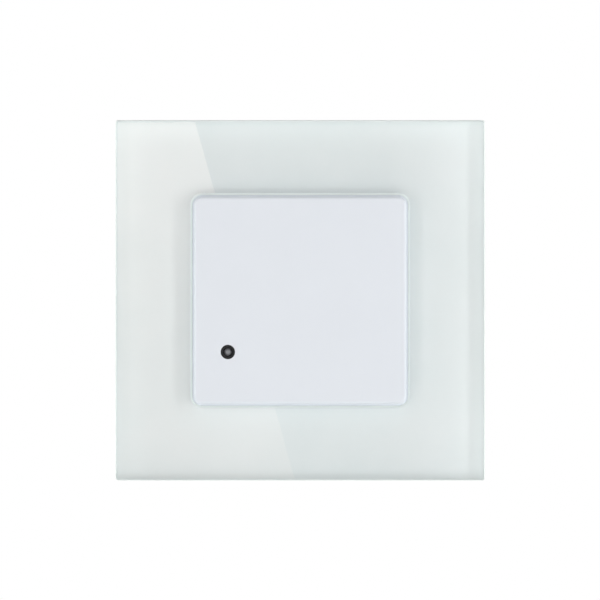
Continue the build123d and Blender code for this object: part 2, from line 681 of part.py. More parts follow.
def patch_antennas():
    """Two copper patches, one to send and one to receive, with their feed lines."""
    copper_front = FRONT_BOARD_FRONT - COPPER_THICKNESS
    patches = []
    for side in (-1, 1):
        x = side * PATCH_FROM_MIDDLE
        feed_z = PATCH_Z - PATCH_SIDE / 2 - FEED_LENGTH / 2
        patch = block(PATCH_SIDE, PATCH_SIDE, copper_front, FRONT_BOARD_FRONT, x, PATCH_Z)
        patch += block(FEED_WIDTH, FEED_LENGTH, copper_front, FRONT_BOARD_FRONT, x, feed_z)
        patches.append(patch)
    return patches


def radar_shield():
    """Tinned can over the oscillator, on the back of the front board."""
    back = FRONT_BOARD_BACK + SHIELD_DEPTH
    can = block(SHIELD_WIDTH, SHIELD_HEIGHT, FRONT_BOARD_BACK, back, 0.0, PATCH_Z)
    inside = SHIELD_WIDTH - 2 * SHIELD_WALL
    inside_height = SHIELD_HEIGHT - 2 * SHIELD_WALL
    return can - block(
        inside, inside_height, FRONT_BOARD_BACK, back - SHIELD_WALL, 0.0, PATCH_Z
    )


def control_chip():
    """The chip that reads the radar and the light sensor, with its two rows of legs."""
    front = FRONT_BOARD_FRONT - CHIP_DEPTH
    chip = block(CHIP_WIDTH, CHIP_HEIGHT, front, FRONT_BOARD_FRONT, CHIP_X, CHIP_Z)
    for n in range(CHIP_LEGS):
        x = CHIP_X + CHIP_LEG_PITCH * (n - (CHIP_LEGS - 1) / 2)
        reach = CHIP_HEIGHT + 2 * CHIP_LEG_REACH
        leg_front = FRONT_BOARD_FRONT - CHIP_LEG_THICKNESS
        chip += block(CHIP_LEG_WIDTH, reach, leg_front, FRONT_BOARD_FRONT, x, CHIP_Z)
    return chip


def sensor_lead_places():
    """Where the light sensor's two leads go through the board."""
    return [SENSOR_X - SENSOR_LEAD_PITCH / 2, SENSOR_X + SENSOR_LEAD_PITCH / 2]


def sensor_leads():
    """Two steel leads: one ends in the cup that holds the chip, one in a post."""
    lens_top = COVER_FRONT + LENS_RECESS
    leads = []
    for n, x in enumerate(sensor_lead_places()):
        top = lens_top + LENS_RADIUS + SENSOR_CUP_DEPTH * n / 2
        back = FRONT_BOARD_BACK + LEG_STICK_OUT - THREAD_FIT
        low = block(SENSOR_LEAD_SIDE, SENSOR_LEAD_SIDE, FRONT_BOARD_FRONT, back, x, SENSOR_Z)
        inner = SENSOR_X + (x - SENSOR_X) / 2
        high_side = SENSOR_LEAD_SIDE / 2
        bend_front = FRONT_BOARD_FRONT - SENSOR_BASE_HEIGHT / 2
        bend = block(
            abs(x - inner) + SENSOR_LEAD_SIDE,
            SENSOR_LEAD_SIDE,
            bend_front,
            FRONT_BOARD_FRONT,
            (x + inner) / 2,
            SENSOR_Z,
        )
        high = block(high_side, SENSOR_LEAD_SIDE, top, bend_front, inner, SENSOR_Z)
        leads.append(low + bend + high)
    return leads


def light_sensor(leads):
    """Clear resin sensor with a round lens, moulded round its leads."""
    lens_top = COVER_FRONT + LENS_RECESS
    dome_centre = lens_top + LENS_RADIUS
    base_front = FRONT_BOARD_FRONT - SENSOR_BASE_HEIGHT
    resin = rod(SENSOR_BASE_RADIUS, base_front, FRONT_BOARD_FRONT, SENSOR_X, SENSOR_Z)
    resin += rod(LENS_RADIUS, dome_centre, base_front, SENSOR_X, SENSOR_Z)
    resin += Pos(SENSOR_X, dome_centre, SENSOR_Z) * Sphere(LENS_RADIUS)
    for lead in leads:
        resin -= lead
    return resin


def light_shroud():
    """Black sleeve round the sensor, whose nose fills the hole in the cover."""
    front = COVER_INSIDE + SHROUD_OFF_COVER
    nose_front = COVER_FRONT + SHROUD_NOSE_RECESS
    base_front = FRONT_BOARD_FRONT - SENSOR_BASE_HEIGHT - LENS_FIT
    sleeve = rod(SHROUD_RADIUS, front, FRONT_BOARD_FRONT, SENSOR_X, SENSOR_Z)
    nose = SENSOR_HOLE_RADIUS - SHROUD_NOSE_FIT
    sleeve += rod(nose, nose_front, front, SENSOR_X, SENSOR_Z)
    sleeve -= rod(LENS_RADIUS + LENS_FIT, nose_front, base_front, SENSOR_X, SENSOR_Z)
    return sleeve - rod(
        SENSOR_BASE_RADIUS + LENS_FIT, base_front, FRONT_BOARD_FRONT, SENSOR_X, SENSOR_Z
    )


def trimmer_body(x):
    """Square trimmer with a round well for its rotor."""
    front = FRONT_BOARD_FRONT - TRIMMER_HEIGHT
    body = block(TRIMMER_SIDE, TRIMMER_SIDE, front, FRONT_BOARD_FRONT, x, TRIMMER_Z)
    floor = FRONT_BOARD_FRONT - ROTOR_SEAT
    return body - rod(ROTOR_RADIUS + ROTOR_FIT, front, floor, x, TRIMMER_Z)


def trimmer_rotor(x):
    """Slotted rotor with a pointer notch, turned with a small screwdriver."""
    front = FRONT_BOARD_FRONT - TRIMMER_HEIGHT - ROTOR_PROUD
    back = FRONT_BOARD_FRONT - ROTOR_SEAT - ROTOR_FIT
    rotor = rod(ROTOR_RADIUS, front, back, x, TRIMMER_Z)
    reach = 2 * ROTOR_RADIUS - 2 * ROTOR_SLOT_WIDTH
    slot_back = front + ROTOR_SLOT_DEPTH
    rotor -= block(reach, ROTOR_SLOT_WIDTH, front, slot_back, x, TRIMMER_Z)
    rotor -= block(ROTOR_SLOT_WIDTH, reach, front, slot_back, x, TRIMMER_Z)
    notch = (ROTOR_SLOT_WIDTH / 2, ROTOR_SLOT_WIDTH, front, slot_back)
    return rotor - block(*notch, x, TRIMMER_Z + ROTOR_RADIUS - ROTOR_SLOT_WIDTH / 2)


def header_strip():
    """Plastic strip of the pin row, on the back of the front board."""
    strip = block(
        HEADER_PINS * HEADER_PITCH,
        HEADER_WIDTH,
        FRONT_BOARD_BACK,
        SOCKET_FRONT,
        0.0,
        HEADER_Z,
    )
    for x in HEADER_PLACES:
        pin = (HEADER_PIN_SIDE, HEADER_PIN_SIDE, FRONT_BOARD_BACK, SOCKET_FRONT)
        strip -= block(*pin, x, HEADER_Z)
    return strip


def header_pins():
    """Square gold-plated pins from the front board into the socket."""
    front = FRONT_BOARD_FRONT - LEG_STICK_OUT / 2
    back = SOCKET_FRONT + HEADER_PIN_REACH
    return [
        block(HEADER_PIN_SIDE, HEADER_PIN_SIDE, front, back, x, HEADER_Z) for x in HEADER_PLACES
    ]


def header_socket():
    """Socket on the power board that takes the pins."""
    width = HEADER_PINS * HEADER_PITCH
    socket = block(width, HEADER_WIDTH, SOCKET_FRONT, POWER_BOARD_FRONT, 0.0, HEADER_Z)
    side = HEADER_PIN_SIDE + 2 * HEADER_PIN_FIT
    for x in HEADER_PLACES:
        floor = SOCKET_FRONT + HEADER_PIN_REACH + HEADER_PIN_FIT
        socket -= block(side, side, SOCKET_FRONT, floor, x, HEADER_Z)
    return socket


def leg_places():
    """Where legs go through the power board, with their parts' names."""
    return {
        "film_capacitor": pair(FILM_CAP_X, FILM_CAP_Z, FILM_CAP_LEG_PITCH),
        "big_capacitor": pair(BIG_CAP_X, BIG_CAP_Z, CAP_LEG_PITCH),
        "small_capacitor": pair(SMALL_CAP_X, SMALL_CAP_Z, CAP_LEG_PITCH),
        "varistor": [
            (VARISTOR_X, VARISTOR_Z - CAP_LEG_PITCH),
            (VARISTOR_X, VARISTOR_Z + CAP_LEG_PITCH),
        ],
        "fuse": pair(FUSE_X, FUSE_Z, FUSE_LEG_PITCH),
        "choke": pair(CHOKE_X, CHOKE_Z, CAP_LEG_PITCH),
        "transformer": [
            (CORE_X + side * BOBBIN_LEG_PITCH * n, CORE_Z + level * transformer_leg_reach())
            for side in (-1, 1)
            for n in (0.5, 1.5)
            for level in (-1, 1)
        ],
        "relay": [
            (RELAY_X + side * RELAY_PIN_X, RELAY_Z + level * RELAY_PIN_Z)
            for side in (-1, 1)
            for level in (-1, 1)
        ],
        "terminal_bars": [(x, bar_leg_z()) for x in POLE_CENTRES],
    }


def pair(x, z, pitch):
    """Two leg places side by side."""
    return [(x - pitch / 2, z), (x + pitch / 2, z)]


def legs(part_name, back):
    """A part's legs, from their cut ends in front of the power board to a depth."""
    return rods(LEG_RADIUS, LEG_END, back, leg_places()[part_name])


def power_board():
    """Mains board that rests on the housing's bosses."""
    board = slab(
        POWER_BOARD_SIDE,
        POWER_BOARD_SIDE,
        POWER_BOARD_CORNER,
        POWER_BOARD_FRONT,
        POWER_BOARD_BACK,
    )
    span = (POWER_BOARD_FRONT, POWER_BOARD_BACK)
    board -= rods(HOUSING_SCREW_RADIUS + HOLE_FIT, *span, HOUSING_SCREWS)
    for name, places in leg_places().items():
        radius = bar_leg_hole() if name == "terminal_bars" else LEG_HOLE_RADIUS
        board -= rods(radius, *span, places)
    return board


def clamp_screw_z():
    """Height of the clamp screws' axes, in the middle of the cages."""
    return cage_bottom() + CAGE_LENGTH / 2


def block_bottom():
    """Lowest face of the terminal block, next to the housing's bottom wall."""
    return HOUSING_BOTTOM_INSIDE + BLOCK_OFF_HOUSING


def cage_bottom():
    """Lowest face of the cages."""
    return block_bottom() + WIRE_WALL + CAGE_PLAY


def cage_front():
    """Front face of the cages with the terminals open."""
    return POWER_BOARD_BACK + CAGE_LIFT


def bar_front():
    """Front face of the contact bars, which wires are pressed against."""
    return cage_front() + CAGE_FLOOR + WIRE_ROOM


def nut_front():
    """Front face of the cages' threaded walls with the terminals open."""
    return bar_front() + BAR_THICKNESS + BAR_TO_NUT


def ledge_front():
    """Front face of the plastic ledge under the screw heads."""
    return nut_front() + CAGE_NUT + CLAMP_TRAVEL + CAGE_PLAY


def bar_leg_z():
    """Height of the contact bars' legs."""
    return block_bottom() + BLOCK_HEIGHT - BAR_LEG_FROM_TOP - BAR_THICKNESS / 2


def bar_leg_hole():
    """Radius of the board's holes for the contact bars' legs."""
    return (BAR_LEG_WIDTH**2 + BAR_THICKNESS**2) ** 0.5 / 2 + THREAD_FIT


def wire_axis_y():
    """Depth of the wires' axes, in the middle of the open clamps."""
    return cage_front() + CAGE_FLOOR + WIRE_ROOM / 2


def terminal_bar(x):
    """Tinned copper bar through the cage, with a leg soldered to the board."""
    bottom = cage_bottom()
    top = bar_leg_z() + BAR_THICKNESS / 2
    back = bar_front() + BAR_THICKNESS
    bar = block(BAR_WIDTH, top - bottom, bar_front(), back, x, (bottom + top) / 2)
    return bar + block(BAR_LEG_WIDTH, BAR_THICKNESS, LEG_END, bar_front(), x, bar_leg_z())


def terminal_block(bars):
    """Insulating body with a well for each cage, wire holes below and screw holes behind."""
    width = (POLES - 1) * POLE_PITCH + CAGE_WIDTH + 2 * (CAGE_PLAY + 2 * BLOCK_END_WALL)
    back = ledge_front() + CLAMP_SCREW_LEDGE + CLAMP_SCREW_HEAD_HEIGHT + 2 * CAGE_PLAY
    middle = block_bottom() + BLOCK_HEIGHT / 2
    body = block(width, BLOCK_HEIGHT, POWER_BOARD_BACK, back, 0.0, middle)
    for x, bar in zip(POLE_CENTRES, bars):
        well_bottom = block_bottom() + WIRE_WALL
        well_height = CAGE_LENGTH + 2 * CAGE_PLAY
        body -= block(
            CAGE_WIDTH + 2 * CAGE_PLAY,
            well_height,
            POWER_BOARD_BACK,
            ledge_front(),
            x,
            well_bottom + well_height / 2,
        )
        hole_middle = (block_bottom() + well_bottom) / 2
        body -= Pos(x, wire_axis_y(), hole_middle) * Cylinder(WIRE_RADIUS, WIRE_WALL)
        head_front = ledge_front() + CLAMP_SCREW_LEDGE
        z = clamp_screw_z()
        body -= rod(CLAMP_SCREW_RADIUS + HOLE_FIT, ledge_front(), head_front, x, z)
        body -= rod(CLAMP_SCREW_HEAD + HOLE_FIT, head_front, back, x, z)
        body -= bar
    return body


def clamp_cage(x):
    """Brass cage that rises along its screw and pulls the wire against the bar."""
    length = CAGE_LENGTH
    z = clamp_screw_z()
    back = nut_front() + CAGE_NUT
    cage = block(CAGE_WIDTH, length, cage_front(), back, x, z)
    window = CAGE_WIDTH - 2 * CAGE_SIDE_WALL
    cage -= block(window, length, cage_front() + CAGE_FLOOR, nut_front(), x, z)
    return cage - rod(CLAMP_SCREW_RADIUS + THREAD_FIT, nut_front(), back, x, z)


def clamp_screw(x):
    """Captive screw with a slotted head, turned from behind."""
    z = clamp_screw_z()
    tip = bar_front() + BAR_THICKNESS + CLAMP_SCREW_TIP_GAP
    head_front = ledge_front() + CLAMP_SCREW_LEDGE + THREAD_FIT
    head_back = head_front + CLAMP_SCREW_HEAD_HEIGHT
    screw = rod(CLAMP_SCREW_RADIUS, tip, head_front, x, z)
    screw += rod(CLAMP_SCREW_HEAD, head_front, head_back, x, z)
    slot_front = head_back - RECESS_DEPTH
    screw -= block(2 * CLAMP_SCREW_HEAD, RECESS_WIDTH, slot_front, head_back, x, z)
    reach = CLAMP_SCREW_HEAD
    return screw - block(RECESS_WIDTH, reach, slot_front, head_back, x, z)


def coil_front():
    """Front end of the relay's bobbin, on the yoke's foot."""
    return POWER_BOARD_BACK + RELAY_BASE + YOKE_THICKNESS


def armature_front():
    """Front face of the relay's armature with the coil off."""
    return coil_front() + COIL_LENGTH + POLE_GAP


def yoke_x():
    """Middle of the relay yoke's upright limb."""
    flange = COIL_RADIUS + BOBBIN_FLANGE_OVER
    return RELAY_X + COIL_X + flange + YOKE_FROM_COIL + YOKE_THICKNESS / 2


def contact_x():
    """Where the relay's contacts meet."""
    spring_end = RELAY_X + COIL_X - COIL_CORE_RADIUS - ARMATURE_OVERHANG - CONTACT_SPRING_REACH
    return spring_end + CONTACT_RADIUS


def relay_case():
    """Dust cover over the relay's works, open to the board."""
    back = POWER_BOARD_BACK + RELAY_DEPTH
    case = block(RELAY_WIDTH, RELAY_HEIGHT, POWER_BOARD_BACK, back, RELAY_X, RELAY_Z)
    case = round_end(case, RELAY_WALL / 2, back=True)
    return case - block(
        RELAY_WIDTH - 2 * RELAY_WALL,
        RELAY_HEIGHT - 2 * RELAY_WALL,
        POWER_BOARD_BACK,
        back - RELAY_WALL,
        RELAY_X,
        RELAY_Z,
    )


def relay_base():
    """Plastic base that closes the case and carries the pins."""
    base = block(
        RELAY_WIDTH - 2 * RELAY_WALL,
        RELAY_HEIGHT - 2 * RELAY_WALL,
        POWER_BOARD_BACK,
        POWER_BOARD_BACK + RELAY_BASE,
        RELAY_X,
        RELAY_Z,
    )
    span = (POWER_BOARD_BACK, POWER_BOARD_BACK + RELAY_BASE)
    return base - rods(LEG_RADIUS, *span, leg_places()["relay"])


def relay_pins():
    """Four pins from the base through the power board."""
    back = POWER_BOARD_BACK + RELAY_BASE
    return [rod(LEG_RADIUS, LEG_END, back, x, z) for x, z in leg_places()["relay"]]


def relay_yoke():
    """Soft iron foot, upright limb and coil core, which carry the magnetism."""
    foot_front = POWER_BOARD_BACK + RELAY_BASE
    limb_side = yoke_x() + YOKE_THICKNESS / 2
    foot_left = RELAY_X + COIL_X - COIL_CORE_RADIUS - YOKE_THICKNESS
    width = limb_side - foot_left
    middle = (limb_side + foot_left) / 2
    yoke = block(width, YOKE_WIDTH, foot_front, coil_front(), middle, RELAY_Z)
    limb_back = armature_front() - ARMATURE_OVER_YOKE
    yoke += block(YOKE_THICKNESS, YOKE_WIDTH, foot_front, limb_back, yoke_x(), RELAY_Z)
    pole = coil_front() + COIL_LENGTH
    return yoke + rod(COIL_CORE_RADIUS, coil_front(), pole, RELAY_X + COIL_X, RELAY_Z)


def relay_bobbin():
    """Plastic bobbin on the core, between the yoke's foot and the pole."""
    x = RELAY_X + COIL_X
    front = coil_front()
    back = front + COIL_LENGTH - BOBBIN_FLANGE / 2
    flange = COIL_RADIUS + BOBBIN_FLANGE_OVER
    bobbin = rod(flange, front, front + BOBBIN_FLANGE, x, RELAY_Z)
    bobbin += rod(flange, back - BOBBIN_FLANGE, back, x, RELAY_Z)
    bobbin += rod(COIL_CORE_RADIUS + BOBBIN_TUBE, front, back, x, RELAY_Z)
    return bobbin - rod(COIL_CORE_RADIUS, front, back, x, RELAY_Z)


def relay_winding():
    """Enamelled copper wire wound on the bobbin, as one ring."""
    x = RELAY_X + COIL_X
    front = coil_front() + BOBBIN_FLANGE
    back = coil_front() + COIL_LENGTH - BOBBIN_FLANGE / 2 - BOBBIN_FLANGE
    ring = rod(COIL_RADIUS, front, back, x, RELAY_Z)
    return ring - rod(COIL_CORE_RADIUS + BOBBIN_TUBE, front, back, x, RELAY_Z)


def relay_armature():
    """Iron flap that rocks on its rounded edge, over the yoke, when the coil pulls it."""
    left = RELAY_X + COIL_X - COIL_CORE_RADIUS - ARMATURE_OVERHANG
    right = yoke_x() + YOKE_THICKNESS / 2
    back = armature_front() + ARMATURE_THICKNESS
    middle = (left + right) / 2
    flap = block(right - left, YOKE_WIDTH, armature_front(), back, middle, RELAY_Z)
    front_edges = flap.edges().filter_by(Axis.Z).sort_by(Axis.Y)[:2]
    return fillet(front_edges.sort_by(Axis.X)[-1], ARMATURE_EDGE_ROUND)


def relay_spring():
    """Bronze leaf on the armature with the moving contact at its tip."""
    left = contact_x() - CONTACT_RADIUS
    right = yoke_x() + YOKE_THICKNESS / 2
    front = armature_front() + ARMATURE_THICKNESS
    back = front + CONTACT_SPRING_THICKNESS
    middle = (left + right) / 2
    leaf = block(right - left, CONTACT_SPRING_WIDTH, front, back, middle, RELAY_Z)
    tip = front - CONTACT_HEIGHT
    return leaf + rod(CONTACT_RADIUS, tip, front, contact_x(), RELAY_Z)


def relay_contact():
    """Fixed contact on its post, which the moving contact meets."""
    tip = armature_front() + ARMATURE_THICKNESS - CONTACT_HEIGHT - CONTACT_GAP
    shelf_back = tip - CONTACT_HEIGHT
    shelf_front = shelf_back - CONTACT_POST_THICKNESS
    post_left = RELAY_X - RELAY_WIDTH / 2 + RELAY_WALL + HOLE_FIT
    post_x = post_left + CONTACT_POST_THICKNESS / 2
    shelf_right = contact_x() + CONTACT_RADIUS
    foot = POWER_BOARD_BACK + RELAY_BASE
    contact = block(
        CONTACT_POST_THICKNESS, CONTACT_POST_WIDTH, foot, shelf_back, post_x, RELAY_Z
    )
    contact += block(
        shelf_right - post_left,
        CONTACT_POST_WIDTH,
        shelf_front,
        shelf_back,
        (shelf_right + post_left) / 2,
        RELAY_Z,
    )
    return contact + rod(CONTACT_RADIUS, shelf_back, tip, contact_x(), RELAY_Z)


def film_capacitor():
    """Yellow box capacitor across the mains."""
    back = POWER_BOARD_BACK + FILM_CAP_DEPTH
    box = slab(
        FILM_CAP_WIDTH,
        FILM_CAP_HEIGHT,
        FILM_CAP_ROUND,
        POWER_BOARD_BACK,
        back,
        FILM_CAP_X,
        FILM_CAP_Z,
    )
    return round_end(box, FILM_CAP_ROUND / 2, back=True) + legs("film_capacitor", POWER_BOARD_BACK)


def can_capacitor(name, radius, depth, x, z):
    """Aluminium can capacitor that stands on the board."""
    can = round_end(
        rod(radius, POWER_BOARD_BACK, POWER_BOARD_BACK + depth, x, z), CAP_ROUND, back=True
    )
    return can + legs(name, POWER_BOARD_BACK)


def varistor():
    """Disc that absorbs surges, standing on edge."""
    y = POWER_BOARD_BACK + VARISTOR_LIFT + VARISTOR_RADIUS
    disc = Cylinder(VARISTOR_RADIUS, VARISTOR_THICKNESS, rotation=(0, 90, 0))
    disc = fillet(disc.edges().filter_by(GeomType.CIRCLE), VARISTOR_ROUND)
    return Pos(VARISTOR_X, y, VARISTOR_Z) * disc + legs("varistor", y)


def fuse():
    """Round plug-in fuse."""
    body = rod(FUSE_RADIUS, POWER_BOARD_BACK, POWER_BOARD_BACK + FUSE_DEPTH, FUSE_X, FUSE_Z)
    return round_end(body, CAP_ROUND, back=True) + legs("fuse", POWER_BOARD_BACK)


def choke_core():
    """Ferrite drum with two flanges and a neck."""
    back = POWER_BOARD_BACK + CHOKE_DEPTH
    core = rod(CHOKE_RADIUS, POWER_BOARD_BACK, POWER_BOARD_BACK + CHOKE_FLANGE, CHOKE_X, CHOKE_Z)
    core += rod(CHOKE_RADIUS, back - CHOKE_FLANGE, back, CHOKE_X, CHOKE_Z)
    core += rod(CHOKE_NECK_RADIUS, POWER_BOARD_BACK, back, CHOKE_X, CHOKE_Z)
    return core + legs("choke", POWER_BOARD_BACK)


def choke_winding():
    """Copper wire round the choke's neck, as one ring."""
    front = POWER_BOARD_BACK + CHOKE_FLANGE
    back = POWER_BOARD_BACK + CHOKE_DEPTH - CHOKE_FLANGE
    ring = rod(CHOKE_RADIUS - CHOKE_WIRE_INSET, front, back, CHOKE_X, CHOKE_Z)
    return ring - rod(CHOKE_NECK_RADIUS, front, back, CHOKE_X, CHOKE_Z)


def transformer_leg_reach():
    """How far the transformer's rows of legs stand from its middle."""
    return BOBBIN_HEIGHT / 2 - BOBBIN_FOOT / 2


def transformer_core():
    """Ferrite ring of two halves, round the bobbin's middle."""
    front = POWER_BOARD_BACK + BOBBIN_FOOT
    back = front + CORE_DEPTH
    ring = block(CORE_WIDTH, CORE_HEIGHT, front, back, CORE_X, CORE_Z)
    window = CORE_WIDTH - 2 * CORE_LIMB
    return ring - block(
        window, CORE_HEIGHT, front + CORE_LIMB, back - CORE_LIMB, CORE_X, CORE_Z
    )


def transformer_coil():
    """Taped winding on its bobbin, inside the core, with two feet and their legs."""
    front = POWER_BOARD_BACK + BOBBIN_FOOT + CORE_LIMB
    back = front + CORE_DEPTH - 2 * CORE_LIMB
    width = CORE_WIDTH - 2 * CORE_LIMB
    coil = block(width, BOBBIN_HEIGHT, front, back, CORE_X, CORE_Z)
    foot_width = CORE_WIDTH - 2 * BOBBIN_WALL
    for level in (-1, 1):
        z = CORE_Z + level * transformer_leg_reach()
        coil += block(foot_width, BOBBIN_FOOT, POWER_BOARD_BACK, front, CORE_X, z)
    return coil + legs("transformer", POWER_BOARD_BACK)


def chip_row(count, pitch, x, z, width, height, depth, board_face):
    """An upright row of like chip parts in front of a board's front face."""
    front = board_face - depth
    levels = [z + pitch * (n - (count - 1) / 2) for n in range(count)]
    return [block(width, height, front, board_face, x, level) for level in levels]


def front_board_parts():
    """Chip resistors and capacitors at both sides of the radar board."""
    pitch = CHIP_ROW_PITCH
    small = (SMALL_CHIP_WIDTH, SMALL_CHIP_HEIGHT, SMALL_CHIP_DEPTH, FRONT_BOARD_FRONT)
    ceramic = (CERAMIC_CHIP_WIDTH, CERAMIC_CHIP_HEIGHT, CERAMIC_CHIP_DEPTH, FRONT_BOARD_FRONT)
    return (
        chip_row(LEFT_SMALL_CHIPS, pitch, -SMALL_CHIP_X, LEFT_SMALL_CHIPS_Z, *small)
        + chip_row(RIGHT_SMALL_CHIPS, pitch, SMALL_CHIP_X, RIGHT_SMALL_CHIPS_Z, *small)
        + chip_row(LEFT_CERAMIC_CHIPS, pitch, -CERAMIC_CHIP_X, LEFT_CERAMIC_CHIPS_Z, *ceramic)
        + chip_row(RIGHT_CERAMIC_CHIPS, pitch, CERAMIC_CHIP_X, RIGHT_CERAMIC_CHIPS_Z, *ceramic)
    )


def power_board_parts():
    """Chip resistors, rectifier, regulator and diode in front of the power board."""
    face = POWER_BOARD_FRONT
    large = (LARGE_CHIP_WIDTH, LARGE_CHIP_HEIGHT, LARGE_CHIP_DEPTH, face)
    rectifier = (RECTIFIER_WIDTH, RECTIFIER_HEIGHT, face - RECTIFIER_DEPTH, face)
    regulator = (REGULATOR_WIDTH, REGULATOR_HEIGHT, face - REGULATOR_DEPTH, face)
    diode = (DIODE_WIDTH, DIODE_HEIGHT, face - DIODE_HEIGHT, face)
    parts = chip_row(LARGE_CHIPS, LARGE_CHIP_PITCH, -LARGE_CHIP_X, LEFT_LARGE_CHIPS_Z, *large)
    parts += chip_row(LARGE_CHIPS, LARGE_CHIP_PITCH, LARGE_CHIP_X, RIGHT_LARGE_CHIPS_Z, *large)
    parts.append(block(*rectifier, RECTIFIER_X, RECTIFIER_Z))
    parts.append(block(*regulator, REGULATOR_X, REGULATOR_Z))
    parts.append(block(*diode, DIODE_X, DIODE_Z))
    return parts


os.makedirs("parts", exist_ok=True)

save("glass_panel", glass_panel())
save("back_print", back_print())
save("glass_tape", glass_tape())
save("glass_carrier", glass_carrier())
save("front_cover", front_cover())
save("mounting_plate", mounting_plate())
save("chassis", chassis())
save("plate_screws", *plate_screws())
save("rear_housing", rear_housing())
save("housing_screws", *housing_screws())
save("board_screws", *board_screws())

save("front_board", front_board())
save("patch_antennas", *patch_antennas())
save("radar_shield", radar_shield())
save("control_chip", control_chip())
save("front_board_parts", *front_board_parts())
SENSOR_LEADS = sensor_leads()
save("sensor_leads", *SENSOR_LEADS)
save("light_sensor", light_sensor(SENSOR_LEADS))
save("light_shroud", light_shroud())
save("trimmer_bodies", *[trimmer_body(x) for x in TRIMMERS])
for setting, trimmer_x in zip(("sensitivity", "time", "daylight"), TRIMMERS):
    save(f"{setting}_rotor", trimmer_rotor(trimmer_x))

save("header_strip", header_strip())
save("header_pins", *header_pins())
save("header_socket", header_socket())
save("power_board", power_board())
save("power_board_parts", *power_board_parts())

TERMINAL_BARS = [terminal_bar(x) for x in POLE_CENTRES]
save("terminal_bars", *TERMINAL_BARS)
save("terminal_block", terminal_block(TERMINAL_BARS))
for number, pole_x in enumerate(POLE_CENTRES, start=1):
    save(f"clamp_cage_{number}", clamp_cage(pole_x))
    save(f"clamp_screw_{number}", clamp_screw(pole_x))

save("relay_case", relay_case())
save("relay_base", relay_base())
save("relay_pins", *relay_pins())
save("relay_yoke", relay_yoke())
save("relay_bobbin", relay_bobbin())
save("relay_winding", relay_winding())
save("relay_armature", relay_armature())
save("relay_spring", relay_spring())
save("relay_contact", relay_contact())

save("film_capacitor", film_capacitor())
BIG_CAN = can_capacitor("big_capacitor", BIG_CAP_RADIUS, BIG_CAP_DEPTH, BIG_CAP_X, BIG_CAP_Z)
SMALL_CAN = can_capacitor(
    "small_capacitor", SMALL_CAP_RADIUS, SMALL_CAP_DEPTH, SMALL_CAP_X, SMALL_CAP_Z
)
save("can_capacitors", BIG_CAN, SMALL_CAN)
save("varistor", varistor())
save("fuse", fuse())
save("choke_core", choke_core())
save("choke_winding", choke_winding())
save("transformer_core", transformer_core())
save("transformer_coil", transformer_coil())
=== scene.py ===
import math

import bpy
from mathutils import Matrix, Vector


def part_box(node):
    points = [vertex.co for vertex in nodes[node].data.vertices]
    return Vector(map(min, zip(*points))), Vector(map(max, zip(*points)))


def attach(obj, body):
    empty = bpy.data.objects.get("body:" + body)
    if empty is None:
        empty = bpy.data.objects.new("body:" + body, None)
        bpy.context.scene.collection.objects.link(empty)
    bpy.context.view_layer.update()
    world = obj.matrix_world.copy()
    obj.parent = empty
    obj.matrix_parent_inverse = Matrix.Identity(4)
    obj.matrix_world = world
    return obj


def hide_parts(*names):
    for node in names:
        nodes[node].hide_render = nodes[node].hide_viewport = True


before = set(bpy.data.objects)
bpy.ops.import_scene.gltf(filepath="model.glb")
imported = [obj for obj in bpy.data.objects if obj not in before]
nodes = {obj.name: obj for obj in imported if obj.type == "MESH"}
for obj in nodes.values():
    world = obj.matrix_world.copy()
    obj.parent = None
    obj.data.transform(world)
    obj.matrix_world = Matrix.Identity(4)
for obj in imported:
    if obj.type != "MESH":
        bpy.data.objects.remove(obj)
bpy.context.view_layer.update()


# Mounting plate: pressed steel sheet with folded lugs, screwed to the wall box.
# It is zinc plated after pressing, which leaves a bright, slightly clouded skin
# over the fine lines that the rolling mill left in the sheet.
MM = 0.001
METAL_CLOUDS = 5 * MM
METAL_MARK_DEPTH = 0.004 * MM
MARKS_BRIGHTER = 0.07
MARKS_DULLER = 0.10


def linear(code):
    """An sRGB hex colour as the linear values that a shader takes."""
    values = []
    for start in (0, 2, 4):
        value = int(code[start : start + 2], 16) / 255
        values.append(value / 12.92 if value <= 0.04045 else ((value + 0.055) / 1.055) ** 2.4)
    return values + [1.0]


def blank(name):
    """A material with no nodes yet."""
    material = bpy.data.materials.new(name)
    material.use_nodes = True
    material.node_tree.nodes.clear()
    return material


def add(material, kind, settings=None, links=None):
    """Adds a node. Settings are its options, sockets or colour stops; links feed its inputs."""
    node = material.node_tree.nodes.new("ShaderNode" + kind)
    for name, value in (settings or {}).items():
        if name == "stops":
            ramp = node.color_ramp.elements
            for count, (place, colour) in enumerate(value):
                stop = ramp[count] if count < 2 else ramp.new(place)
                stop.position = place
                stop.color = linear(colour)
        elif isinstance(name, str) and hasattr(node, name):
            setattr(node, name, value)
        else:
            node.inputs[name].default_value = value
    for name, (source, output) in (links or {}).items():
        material.node_tree.links.new(source.outputs[output], node.inputs[name])
    return node


